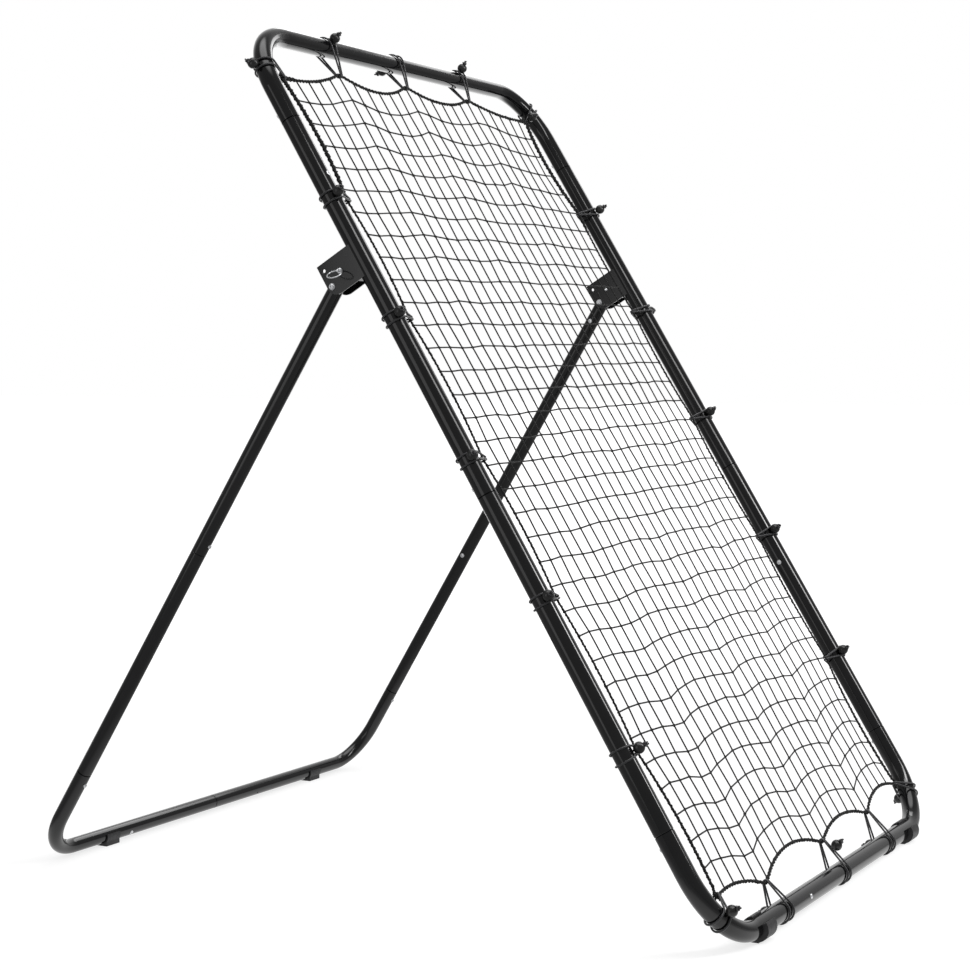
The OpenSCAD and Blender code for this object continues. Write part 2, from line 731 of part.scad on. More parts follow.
// Points of the rope's centre line, anticlockwise from the bottom left corner
bar_steps = 6;
side_steps = 4;
function along(edge, bulges, steps) = [
    for (i = [0 : len(edge) - 2]) for (k = [(i == 0 ? 1 : 0) : steps - 1])
        let (p = mix(edge[i][0], edge[i + 1][0], k / steps)) [p, edge_at(edge, bulges, p + 0.0001)]
];
function reverse(points) = [for (i = [len(points) - 1 : -1 : 0]) points[i]];
function left_of(v) = [-v[1], v[0]];
// The rope runs straight through each corner's bungee, so its corner is cut off by two turns.
corner_half = 8;
function rope_corner(t) = [for (k = [-1, 1]) corner_knot(t) + k * corner_half * left_of(corner_out(t))];
rope_path = concat(
    rope_corner(corner_ties[2]), along(bottom_edge, bottom_bulges, bar_steps),
    rope_corner(corner_ties[3]), [for (p = along(right_edge, right_bulges, side_steps)) swap(p)],
    rope_corner(corner_ties[1]), reverse(along(top_edge, top_sags, bar_steps)),
    rope_corner(corner_ties[0]), reverse([for (p = along(left_edge, left_bulges, side_steps)) swap(p)])
);
rope_n = len(rope_path);

function unit(v) = v / norm(v);
// Mitred inward normal at each point of the rope
rope_in = [
    for (i = [0 : rope_n - 1])
        let (p = rope_path[i],
            n1 = left_of(unit(p - rope_path[(i + rope_n - 1) % rope_n])),
            n2 = left_of(unit(rope_path[(i + 1) % rope_n] - p)),
            b = unit(n1 + n2))
        b / (b * n1)
];

rope_sides = 8;
rope_points = [
    for (i = [0 : rope_n - 1]) for (k = [0 : rope_sides - 1])
        let (a = 360 * (k + 0.5) / rope_sides, q = rope_path[i] + rope_in[i] * rope_r * cos(a))
        [q[0], rope_r * sin(a), q[1]]
];
rope_faces = [
    for (i = [0 : rope_n - 1]) for (k = [0 : rope_sides - 1])
        let (j = (i + 1) % rope_n, m = (k + 1) % rope_sides,
            a = i * rope_sides + k, b = i * rope_sides + m, c = j * rope_sides + k, d = j * rope_sides + m)
        for (f = [[a, b, d], [a, d, c]]) f
];

module border_rope() {
    color(black_cord) on_front() polyhedron(rope_points, rope_faces);
}

// One gap of the net, as six points: its long edges bow with the scallops.
net_w = frame_w - 2 * side_tie;
edge_in = rope_r + seat + strand;
function inset_low(i) = i == 0 ? edge_in : strand / 2;
function net_gap(i, j) =
    let (u1 = i / net_cols + inset_low(i) / net_w,
        u2 = (i + 1) / net_cols - inset_low(net_cols - 1 - i) / net_w,
        v1 = j / net_rows + inset_low(j) / frame_l,
        v2 = (j + 1) / net_rows - inset_low(net_rows - 1 - j) / frame_l)
    [net_at(u1, v1), net_at((u1 + u2) / 2, v1), net_at(u2, v1),
        net_at(u2, v2), net_at((u1 + u2) / 2, v2), net_at(u1, v2)];
gaps = [for (i = [0 : net_cols - 1]) for (j = [0 : net_rows - 1]) net_gap(i, j)];
net_rim = [for (i = [0 : rope_n - 1]) rope_path[i] + rope_in[i] * (rope_r + seat)];

// A bungee's inner bend: its radius on the cord's centre line, and how far its middle lies beyond the rope's
eye_r = rope_r + 1.2 * seat + cord_d / 2;
eye_shift = 1.8;

// Where each bungee passes through the net, just inside the rope: [across, up]
eye_out = eye_shift + eye_r;
pass_spots = concat(
    [for (t = left_ties) [side_tie + eye_out - half_w, t[0]]],
    [for (t = right_ties) [half_w - side_tie - eye_out, t[0]]],
    [for (t = top_ties) [t[0], frame_l - t[1] - eye_out]],
    [for (t = bottom_ties) [t[0], t[1] + eye_out]],
    [for (t = corner_ties) corner_knot(t) - eye_out * corner_out(t)]
);

module net() {
    bite_r = cord_d + 3 * seat;
    color(black_cord) on_front() rotate([90, 0, 0]) linear_extrude(net_t, center = true) difference() {
        polygon(net_rim);
        for (g = gaps) polygon(g);
        // Room for each bungee where it passes through the net beside the rope
        for (p = pass_spots) translate(p) circle(r = bite_r, $fn = 24);
    }
}

// ---- Bungees ----
// Every bungee is drawn with its tube at the origin and the rope on +X, and is moved to its place.

loop_r = tube_r + seat + cord_d / 2;
twin = cord_d + 0.2;
knot_d = 1.5 * cord_d;
tail_l = 8;

// A ball lies against its tube between the two cords, or outside both where it has slid along them.
ball_out = tube_r + ball_gap + ball_d / 2;
slid_out = loop_r + (cord_d + ball_d) / 2 + seat;
// Half of the distance between the two cords beside a ball
straddle = sqrt(pow((ball_d + cord_d) / 2 + seat, 2) - pow(ball_out - loop_r, 2));

module at_side_tie(side, z) {
    on_side(side) translate([half_w, 0, z]) mirror([1, 0, 0]) children();
}

module at_top_tie(t) {
    translate([t[0], 0, frame_l]) rotate([0, 90, 0]) children();
}

module at_bottom_tie(t) {
    translate([t[0], 0, 0]) rotate([0, -90, 0]) children();
}

module at_corner_tie(t) {
    z = t[1] > 0 ? frame_l - bend_r : bend_r;
    on_side(t[0]) translate([half_w - bend_r, 0, z]) rotate([0, -t[1] * t[2], 0])
        translate([bend_r, 0, 0]) mirror([1, 0, 0]) children();
}

// Turn at which a bungee's straight part leaves the tube, for its inner bend at c
function leave_angle(c) = acos((loop_r - eye_r) / c);

// A ball's place: outside the loop at the given turn, or slid along the straight part.
module at_ball(c, turn, slide) {
    rotate([0, 0, slide > 0 ? -leave_angle(c) : turn])
        translate([slide > 0 ? slid_out : ball_out, slide, 0]) rotate([0, 90, 0]) children();
}

// A bend of a cord between two turns: a touch thinner, so that its ends run into the straight parts.
module cord_arc(r, from, to) {
    lap = 0.4 / r * 180 / PI;
    rotate([0, 0, from - lap]) rotate_extrude(angle = to - from + 2 * lap, $fn = fine)
        translate([r, 0]) circle(d = cord_d - 0.1, $fn = 24);
}

// A loop of cord round the tube and the rope, drawn twice: together at the rope and apart at the ball.
module bungee(dist, turn, slide) {
    c = dist + eye_shift;
    a = leave_angle(c);
    run = sqrt(c * c - pow(loop_r - eye_r, 2));
    ball_x = slide > 0 ? 0 : loop_r * cos(turn);
    tilt = atan((straddle - twin / 2) / (c + eye_r - ball_x));
    for (k = [-1, 1]) translate([0, 0, k * (twin / 2 + (c + eye_r) * tan(tilt))]) rotate([0, k * tilt, 0]) {
        cord_arc(loop_r, a, 360 - a);
        translate([c, 0, 0]) cord_arc(eye_r, -a, a);
        for (m = [0, 1]) mirror([0, m, 0]) rotate([0, 0, a]) translate([loop_r, 0, 0])
            rotate([90, 0, 0]) cylinder(d = cord_d, h = run, $fn = 24);
    }
    // Its ends pass through the ball and are knotted outside it.
    at_ball(c, turn, slide) translate([0, 0, -ball_d / 2]) {
        cylinder(d = cord_d, h = ball_d + tail_l, $fn = 24);
        translate([0, 0, ball_d + knot_d / 2]) sphere(d = knot_d, $fn = 24);
    }
}

// A ball on its cord, bored for the cord's ends.
module ball(dist, turn, slide) {
    at_ball(dist + eye_shift, turn, slide) difference() {
        sphere(d = ball_d, $fn = fine);
        cylinder(d = cord_d + 2 * seat, h = ball_d + 2, center = true, $fn = fine);
    }
}

module bungees_side(side) {
    color(black_cord) on_front() for (t = side < 0 ? left_ties : right_ties)
        at_side_tie(side, t[0]) bungee(side_tie, t[1], 0);
}

module bungees_top() {
    color(black_cord) on_front() for (t = top_ties) at_top_tie(t) bungee(t[1], t[2], t[3]);
}

module bungees_bottom() {
    color(black_cord) on_front() for (t = bottom_ties) at_bottom_tie(t) bungee(t[1], t[2], t[3]);
}

module bungees_corner() {
    color(black_cord) on_front() for (t = corner_ties) at_corner_tie(t) bungee(corner_tie, t[3], t[4]);
}

module balls_side(side) {
    color(black_plastic) on_front() for (t = side < 0 ? left_ties : right_ties)
        at_side_tie(side, t[0]) ball(side_tie, t[1], 0);
}

module balls_top() {
    color(black_plastic) on_front() for (t = top_ties) at_top_tie(t) ball(t[1], t[2], t[3]);
}

module balls_bottom() {
    color(black_plastic) on_front() for (t = bottom_ties) at_bottom_tie(t) ball(t[1], t[2], t[3]);
}

module balls_corner() {
    color(black_plastic) on_front() for (t = corner_ties) at_corner_tie(t) ball(corner_tie, t[3], t[4]);
}

// ---- What is drawn ----

top_tube();
bottom_tube();
upper_upright(-1);  // upper_upright_left
upper_upright(1);  // upper_upright_right
lower_upright(-1);  // lower_upright_left
lower_upright(1);  // lower_upright_right
upper_leg(-1);  // upper_leg_left
upper_leg(1);  // upper_leg_right
lower_leg(-1);  // lower_leg_left
lower_leg(1);  // lower_leg_right
rear_corner_left();
rear_corner_right();
hinge_bracket(-1);  // hinge_bracket_left
hinge_bracket(1);  // hinge_bracket_right
bracket_screws();
pivot_bolts();
pivot_washers();
pivot_nuts();
pivot_bushes();
lock_pin(-1);  // lock_pin_left
lock_pin(1);  // lock_pin_right
pull_ring(-1);  // pull_ring_left
pull_ring(1);  // pull_ring_right
button_top(-1);  // button_top_left
button_top(1);  // button_top_right
button_middle(-1);  // button_middle_left
button_middle(1);  // button_middle_right
button_bottom(-1);  // button_bottom_left
button_bottom(1);  // button_bottom_right
button_leg(-1);  // button_leg_left
button_leg(1);  // button_leg_right
button_corner(-1);  // button_corner_left
button_corner(1);  // button_corner_right
button_rear_bar();
front_button_springs();
rear_button_springs();
front_rivets();
rear_rivets();
front_foot(-1);  // front_foot_left
front_foot(1);  // front_foot_right
rear_foot(-1);  // rear_foot_left
rear_foot(1);  // rear_foot_right
net();
border_rope();
bungees_side(-1);  // bungees_left
bungees_side(1);  // bungees_right
bungees_top();
bungees_bottom();
bungees_corner();
balls_side(-1);  // balls_left
balls_side(1);  // balls_right
balls_top();
balls_bottom();
balls_corner();
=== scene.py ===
"""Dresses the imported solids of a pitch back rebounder: paint, hardware, net, rope, bungees and balls."""

import json
import math
import random

import bmesh
import bpy
from bpy.props import FloatProperty, FloatVectorProperty, IntProperty, PointerProperty
from mathutils import Matrix, Vector


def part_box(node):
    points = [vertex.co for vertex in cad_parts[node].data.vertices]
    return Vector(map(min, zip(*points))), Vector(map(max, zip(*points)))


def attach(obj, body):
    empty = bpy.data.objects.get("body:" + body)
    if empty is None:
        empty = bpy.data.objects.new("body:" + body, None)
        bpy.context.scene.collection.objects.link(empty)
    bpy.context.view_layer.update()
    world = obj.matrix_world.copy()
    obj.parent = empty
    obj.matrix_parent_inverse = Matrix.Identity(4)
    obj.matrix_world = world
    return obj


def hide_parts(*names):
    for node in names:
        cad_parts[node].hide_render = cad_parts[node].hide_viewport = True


bl_info = {
    "name": "Pitch Back Rebounder",
    "version": (1, 0, 0),
    "blender": (4, 5, 0),
    "location": "3D View > Sidebar > Rebounder",
    "description": "Dresses the packed solids of a pitch back rebounder",
    "category": "Object",
}

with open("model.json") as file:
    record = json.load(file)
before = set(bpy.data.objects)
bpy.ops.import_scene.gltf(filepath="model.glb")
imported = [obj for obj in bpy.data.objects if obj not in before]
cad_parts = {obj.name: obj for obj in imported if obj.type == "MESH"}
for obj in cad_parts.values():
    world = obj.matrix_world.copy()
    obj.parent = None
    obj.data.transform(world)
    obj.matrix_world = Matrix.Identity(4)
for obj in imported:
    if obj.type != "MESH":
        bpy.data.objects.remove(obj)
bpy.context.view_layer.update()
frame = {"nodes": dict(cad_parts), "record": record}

# The net's bungees, as the solids have them: (height, turn of the ball) on the uprights,
# (place across, bar to rope, turn of the ball, slide along the cord) on the bars, and
# (side, top or bottom, turn round the bend, turn of the ball, slide) at the corners.
LEFT_TIES = [(0.337, 291), (0.621, 233), (0.889, 226), (1.170, 235), (1.416, 242)]
RIGHT_TIES = [(0.370, 290), (0.657, 291), (0.943, 285), (1.209, 194), (1.459, 260)]
TOP_TIES = [(-0.273, 0.060, 262, 0), (-0.020, 0.053, 100, 0), (0.239, 0.051, 242, 0)]
BOTTOM_TIES = [(-0.288, 0.050, 71, 0), (0.012, 0.060, -79, 0.038), (0.276, 0.063, 71, 0)]
CORNER_TIES = [(-1, 1, 19, 172, 0), (1, 1, 37, -75, 0.036), (-1, -1, 40, 268, 0), (1, -1, 31, 113, 0)]
# Inward bulge of the rope in each span, from the left or from the bottom
TOP_BULGES = [0.013, 0.029, 0.025, 0.011]
BOTTOM_BULGES = [0.014, 0.032, 0.025, 0.022]
LEFT_BULGES = [0.014, 0.012, 0.012, 0.013, 0.012, 0.018]
RIGHT_BULGES = [0.018, 0.012, 0.012, 0.012, 0.012, 0.024]

FRONT = "front_frame"

# How deep the scallops of the bottom and top and the pull of the sides reach into the net, as shares of it
SCALLOP_LOW, SCALLOP_HIGH, SIDE_PULL = 0.24, 0.16, 0.10
# Mean depth of the scallops, and mean distance from an upright to the net
MEAN_SCALLOP, MEAN_SIDE = 0.012, 0.055
# How far up the side rope starts to thin and to thicken, and over what length each
THIN_FROM, THIN_OVER, THICK_FROM, THICK_OVER = 0.16, 0.20, 1.40, 0.06
# How close to an upright a point counts as the side rope
SIDE_BAND = 0.09
# Knots at the ends of the twine and thickness of the level twine, to the rest
END_KNOT, LEVEL_GIRTH = 1.15, 1.12
# A strand's thickness to its share of the rope, and the lashing's radius to the twine
STRAND_FILL, LASHING_GIRTH = 1.06, 0.36
# The gathers: their stray to the rope, the smallest to the largest, and the thread between to the twine
GATHER_STRAY, GATHER_LEAST, GATHER_THREAD = 0.24, 0.45, 0.3
# Gap round the rope in seats, half the gap between two cords side by side and radius of the ends, in cords
EYE_SEATS, PAIR_APART, END_GIRTH = 1.2, 1.06, 0.41
# The knot on a ball, in cord radii: its height above the ball, mean reach, swing in and out, and rise
KNOT_HEIGHT, KNOT_REACH, KNOT_SWING, KNOT_RISE = 0.9, 1.5, 0.65, 0.62
# The cut ends beyond the knot, in cord radii: their foot above the ball, their gap there and their bow
TAIL_FOOT, TAIL_GAP, TAIL_BOW = 0.8, 0.35, 0.2
# Length of one turn of the yarns in a cord's sheath
BRAID = 0.0024
# A ball's bore to its cord, the rim round the bore, and the height of the moulding line
BORE_GAP, RIM, MOULD_LINE = 0.0003, 0.0012, 0.00018
# A ball's collar: points out from the bore and up from the rim
COLLAR = [(0.0009, 0.0004), (0.0002, 0.0003), (0, -0.0004)]

# The lamps: name, width and length, and the line that each lies along
LAMPS = [("key", (0.45, 2.2), (0.53, -2.24, 1.94), (-1.10, -1.28, 3.03)),
         ("low", (0.38, 1.3), (1.28, -2.68, 1.44), (0.20, -2.05, 2.15)),
         ("fill", (1.8, 2.2), (-3.35, 0.83, 0.1), (-3.35, 0.83, 2.1)),
         ("rim", (3.0, 1.2), (3.0, 0.7, 2.4), (3.0, 0.7, 3.4))]
# Where gloss turns bright, by direction: straight beyond the object, overhead, and along the floor
BEYOND, ABOVE, ALONG_FLOOR = (0.45, 0.95), (0.84, 0.96), (0.7, 0.9)
# Distances over which the floor turns white, and over which its near and far glow fade
WHITE_OVER, NEAR_OVER, FAR_OVER = (1.0, 3.5), (0.05, 0.45), (1.5, 3.0)


# ---- Settings ----


def metres(name, what, value):
    """A size setting in metres."""
    return FloatProperty(name=name, description=what, default=value, unit="LENGTH")


def turned(name, what, degrees):
    """A setting for an angle."""
    return FloatProperty(name=name, description=what, default=math.radians(degrees), unit="ROTATION")


def number(name, what, value, **more):
    """A setting without a unit, or with the one that is given."""
    return FloatProperty(name=name, description=what, default=value, **more)


def colour(name, what, value):
    """A colour setting."""
    return FloatVectorProperty(name=name, description=what, default=value, size=3, subtype="COLOR",
                               min=0, max=1)


class FrameSizes(bpy.types.PropertyGroup):
    """Sizes of the tubes that the net hangs in."""

    width: metres("Width", "Between the uprights' centre lines", 1.088)
    length: metres("Length", "Between the bars' centre lines", 1.780)
    lean: turned("Lean", "Away from vertical", 31.2)
    tube: metres("Tube", "Diameter of the front tubes", 0.035)
    bend: metres("Bend", "Radius of the front corners", 0.125)


class NetSizes(bpy.types.PropertyGroup):
    """Sizes of the net and its border rope."""

    columns: IntProperty(name="Columns", description="Gaps across the net", default=23, min=4)
    rows: IntProperty(name="Rows", description="Gaps up the net", default=34, min=4)
    twine: metres("Twine", "Diameter of the twine", 0.0027)
    knot: metres("Knot", "Diameter of a mesh knot", 0.0052)
    rope: metres("Rope", "Diameter of the border rope", 0.0050)
    side_girth: number("Side girth", "Rope's thickness on the sides, to the rest", 0.78)
    top_girth: number("Top girth", "Rope's thickness below the top corners", 1.35)
    gather: metres("Gather", "Diameter of the knots that hold the net on the rope", 0.0058)
    lay: metres("Lay", "Length of one turn of the rope's strands", 0.019)
    lashing: metres("Lashing", "Pitch of the twine lashed round the rope", 0.011)
    side_tie: metres("Side tie", "From upright to rope", 0.050)
    corner_tie: metres("Corner tie", "From bend to rope", 0.044)
    slack: metres("Slack", "How far a knot may stray", 0.0016)


class BungeeSizes(bpy.types.PropertyGroup):
    """Sizes of the ball bungees."""

    cord: metres("Cord", "Diameter of the elastic cord", 0.0036)
    ball: metres("Ball", "Diameter of a ball", 0.020)
    gap: metres("Ball gap", "Between a ball and its tube", 0.001)
    seat: metres("Seat", "Gap between a cord and the tube", 0.0003)
    nip: metres("Nip", "From the rope to the middle of a loop's end", 0.0018)
    tail: metres("Tail", "Cord beyond the ball", 0.008)


class Finishes(bpy.types.PropertyGroup):
    """Colours of the finishes."""

    enamel: colour("Enamel", "Gloss paint of the tubes and brackets", (0.0045, 0.0045, 0.005))
    enamel_worn: colour("Rubbed enamel", "Paint where it is rubbed duller", (0.008, 0.008, 0.0085))
    zinc: colour("Zinc", "Plated hardware", (0.84, 0.85, 0.87))
    steel: colour("Spring steel", "Springs inside the tubes", (0.36, 0.37, 0.39))
    plastic: colour("Plastic", "Feet", (0.014, 0.014, 0.015))
    ball: colour("Ball", "Bungee balls", (0.010, 0.010, 0.010))
    twine: colour("Twine", "Net and rope", (0.009, 0.009, 0.009))
    cord: colour("Cord", "Elastic cord's sheath", (0.010, 0.010, 0.011))


class StageSettings(bpy.types.PropertyGroup):
    """Camera, lamps and floor."""

    lens: number("Lens", "Focal length in millimetres", 77.612)
    azimuth: turned("Azimuth", "Camera's turn", -61.6275)
    shift: number("Shift", "Camera's vertical shift", -0.1280)
    camera: FloatVectorProperty(name="Camera", description="Camera, from the bottom bar's centre line",
                                default=(-3.634296, -1.239293, 0.927648), size=3, subtype="XYZ",
                                unit="LENGTH")
    key: number("Key", "Power of the main lamp", 20, unit="POWER")
    low: number("Low", "Power of the lamp beside the foot", 18, unit="POWER")
    fill: number("Fill", "Power of the fill lamp", 11, unit="POWER")
    rim: number("Rim", "Power of the back lamp", 30, unit="POWER")
    sky: number("Sky", "Strength of the surroundings' light", 0.55)
    dark: number("Dark", "Brightness behind the camera, in gloss", 0.27)
    overhead: number("Overhead", "Brightness overhead, in gloss", 3.0)
    near_floor: number("Near floor", "Added brightness of the floor close to gloss", 0.7)
    far_floor: number("Far floor", "Added brightness of the floor far from gloss", 1.8)


# ---- Places ----


def sizes(context):
    """The three groups of sizes."""
    scene = context.scene
    return scene.rebounder_frame, scene.rebounder_net, scene.rebounder_bungee


def front_matrix(tubes):
    """Coordinates of the front frame: X across, Y square to the net to the back, Z up the uprights."""
    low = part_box("bottom_tube")[0]
    radius = tubes.tube / 2
    return Matrix.Translation((0, low.y + radius, low.z + radius)) @ Matrix.Rotation(-tubes.lean, 4, "X")


def mirror(side):
    """Turns a shape to the other side where side is -1."""
    return Matrix.Diagonal((side, 1, 1, 1))


def mix(a, b, t):
    """From a to b."""
    return a + (b - a) * t


class NetShape:
    """The outline of the net, in the front frame's coordinates: across and up."""

    def __init__(self, tubes, net):
        self.half = tubes.width / 2
        self.length = tubes.length
        self.bend = tubes.bend
        self.tie = net.corner_tie
        corners = [self.corner(t) for t in CORNER_TIES]
        self.top_left, self.top_right, self.bottom_left, self.bottom_right = corners
        self.bottom = [self.bottom_left] + [(t[0], t[1]) for t in BOTTOM_TIES] + [self.bottom_right]
        self.top = [self.top_left] + [(t[0], self.length - t[1]) for t in TOP_TIES] + [self.top_right]
        inner = self.half - net.side_tie
        self.left = [self.bottom_left[::-1]] + [(z, -inner) for z, _ in LEFT_TIES] + [self.top_left[::-1]]
        self.right = [self.bottom_right[::-1]] + [(z, inner) for z, _ in RIGHT_TIES] + [self.top_right[::-1]]
        self.right_bulges = [-b for b in RIGHT_BULGES]
        self.top_sags = [-b for b in TOP_BULGES]

    def out(self, tie):
        """Direction from the middle of a corner's bend out to its bungee."""
        turn = math.radians(tie[2])
        return tie[0] * math.cos(turn), tie[1] * math.sin(turn)

    def corner(self, tie):
        """Where the bungee of a corner holds the rope."""
        middle_up = self.length - self.bend if tie[1] > 0 else self.bend
        reach = self.bend - self.tie
        across, up = self.out(tie)
        return tie[0] * (self.half - self.bend) + reach * across, middle_up + reach * up

    @staticmethod
    def straight(edge, at):
        """The line from bungee to bungee, without its bulges: distance across, span and place in it."""
        inner = [i for i in range(1, len(edge) - 1) if at >= edge[i][0]]
        span = len(inner)
        a, b = edge[span], edge[span + 1]
        t = (at - a[0]) / (b[0] - a[0])
        return mix(a[1], b[1], t), span, t

    def edge_at(self, edge, bulges, at):
        """Distance across an edge at a place along it."""
        level, span, t = self.straight(edge, at)
        return level + 4 * bulges[span] * t * (1 - t)

    def at(self, u, v):
        """A point of the net: u from left to right, v from bottom to top.  The scallops fade inward."""
        x_low = mix(self.bottom_left[0], self.bottom_right[0], u)
        x_high = mix(self.top_left[0], self.top_right[0], u)
        low = self.edge_at(self.bottom, BOTTOM_BULGES, x_low)
        high = self.edge_at(self.top, self.top_sags, x_high)
        low_mean = mix(self.bottom_left[1], self.bottom_right[1], u) + MEAN_SCALLOP
        high_mean = mix(self.top_left[1], self.top_right[1], u) - MEAN_SCALLOP
        fade_low = math.exp(-v / SCALLOP_LOW)
        fade_high = math.exp((v - 1) / SCALLOP_HIGH)
        up = mix(low_mean, high_mean, v) + (low - low_mean) * fade_low + (high - high_mean) * fade_high
        left = self.edge_at(self.left, LEFT_BULGES, mix(self.bottom_left[1], self.top_left[1], v))
        right = self.edge_at(self.right, self.right_bulges, mix(self.bottom_right[1], self.top_right[1], v))
        pull_left = math.exp(-u / SIDE_PULL)
        pull_right = math.exp((u - 1) / SIDE_PULL)
        mean_left, mean_right = MEAN_SIDE - self.half, self.half - MEAN_SIDE
        across = mix(mean_left, mean_right, u)
        across += (left - mean_left) * pull_left + (right - mean_right) * pull_right
        return across, up

    def rope(self, step=0.006):
        """The rope's centre line, anticlockwise from the bottom left corner."""

        def along(edge, bulges, swapped=False, backwards=False):
            count = round((edge[-1][0] - edge[0][0]) / step)
            places = [mix(edge[0][0], edge[-1][0], k / count) for k in range(2, count - 1)]
            points = [(p, self.edge_at(edge, bulges, p)) for p in places]
            if swapped:
                points = [p[::-1] for p in points]
            return points[::-1] if backwards else points

        def turn(tie, reach=0.008):
            x, z = self.corner(tie)
            across, up = self.out(tie)
            return [(x - k * up * reach, z + k * across * reach) for k in (-1, 0, 1)]

        top_left, top_right, bottom_left, bottom_right = CORNER_TIES
        points = turn(bottom_left) + along(self.bottom, BOTTOM_BULGES)
        points += turn(bottom_right) + along(self.right, self.right_bulges, swapped=True)
        points += turn(top_right) + along(self.top, self.top_sags, backwards=True)
        points += turn(top_left) + along(self.left, LEFT_BULGES, swapped=True, backwards=True)
        return points


# ---- Meshes ----


def plain_object(name, mesh):
    """A new object at the origin that holds the mesh."""
    made = bpy.data.objects.new(name, mesh)
    bpy.context.scene.collection.objects.link(made)
    return made


def line_mesh(name, lines, closed=False, **values):
    """A mesh of separate lines of points, with a float value per point for each name in values."""
    points, edges = [], []
    for line in lines:
        first = len(points)
        points += [tuple(p) for p in line]
        edges += [(first + k, first + k + 1) for k in range(len(line) - 1)]
        if closed:
            edges.append((len(points) - 1, first))
    mesh = bpy.data.meshes.new(name)
    mesh.from_pydata(points, edges, [])
    for key, numbers in values.items():
        mesh.attributes.new(key, "FLOAT", "POINT").data.foreach_set("value", numbers)
    return mesh


def lathe(name, profile, places, steps=32):
    """Copies of a ring turned round Z, one at each of the places: the profile is closed, off the axis."""
    points, faces = [], []
    count = len(profile)
    for place in places:
        first = len(points)
        for k in range(steps):
            turn = Matrix.Rotation(2 * math.pi * k / steps, 4, "Z")
            points += [tuple(place @ turn @ Vector((r, 0, z))) for r, z in profile]
        for k in range(steps):
            near, far = first + k * count, first + (k + 1) % steps * count
            for i in range(count):
                j = (i + 1) % count
                faces.append((near + i, far + i, far + j, near + j))
    mesh = bpy.data.meshes.new(name)
    mesh.from_pydata(points, [], faces)
    mesh.shade_smooth()
    face_outwards(mesh)
    return plain_object(name, mesh)


def face_outwards(mesh):
    """Turns every face outwards."""
    work = bmesh.new()
    work.from_mesh(mesh)
    bmesh.ops.recalc_face_normals(work, faces=work.faces)
    work.to_mesh(mesh)
    work.free()


# ---- Node helpers ----


def node(tree, kind, inputs=None, **settings):
    """Adds a node: settings are its properties, inputs are values or the sockets to link."""
    made = tree.nodes.new(kind)
    for key, value in settings.items():
        setattr(made, key, value)
    for key, value in (inputs or {}).items():
        if isinstance(value, bpy.types.NodeSocket):
            tree.links.new(value, made.inputs[key])
        else:
            made.inputs[key].default_value = value
    return made


def maths(tree, operation, first, second=0.0):
    """A Math node's result, in a shader tree or a geometry tree."""
    return node(tree, "ShaderNodeMath", {0: first, 1: second}, operation=operation).outputs[0]


def new_tree(name, inputs):
    """A geometry tree with its inputs, each (name, socket kind, default), and its input and output nodes."""
    tree = bpy.data.node_groups.new(name, "GeometryNodeTree")
    tree.interface.new_socket("Geometry", in_out="INPUT", socket_type="NodeSocketGeometry")
    tree.interface.new_socket("Geometry", in_out="OUTPUT", socket_type="NodeSocketGeometry")
    for label, kind, default in inputs:
        socket = tree.interface.new_socket(label, in_out="INPUT", socket_type=kind)
        if default is not None:
            socket.default_value = default
    return tree, tree.nodes.new("NodeGroupInput").outputs, tree.nodes.new("NodeGroupOutput").inputs


def profile_circle(tree, radius, sides):
    """A round section that keeps, in cord_turn, which way each of its points lies."""
    circle = node(tree, "GeometryNodeCurvePrimitiveCircle", {"Resolution": sides, "Radius": radius})
    place = tree.nodes.new("GeometryNodeInputPosition")
    way = node(tree, "ShaderNodeVectorMath", {0: place.outputs[0]}, operation="NORMALIZE")
    return node(tree, "GeometryNodeStoreNamedAttribute",
                {"Geometry": circle.outputs["Curve"], "Name": "cord_turn", "Value": way.outputs[0]},
                data_type="FLOAT_VECTOR", domain="POINT").outputs[0]


def keep_length(tree, curve):
    """The curve, with the length along it kept in cord_len."""
    parameter = tree.nodes.new("GeometryNodeSplineParameter")
    return node(tree, "GeometryNodeStoreNamedAttribute",
                {"Geometry": curve, "Name": "cord_len", "Value": parameter.outputs["Length"]},
                data_type="FLOAT", domain="POINT").outputs[0]


def finish_tree(tree, parts, material, out):
    """Joins the parts, makes them real and smooth, and gives them the material."""
    join = tree.nodes.new("GeometryNodeJoinGeometry")
    for part in parts:
        tree.links.new(part, join.inputs[0])
    real = node(tree, "GeometryNodeRealizeInstances", {"Geometry": join.outputs[0]})
    smooth = node(tree, "GeometryNodeSetShadeSmooth", {"Geometry": real.outputs[0]})
    done = node(tree, "GeometryNodeSetMaterial", {"Geometry": smooth.outputs[0], "Material": material})
    tree.links.new(done.outputs[0], out[0])


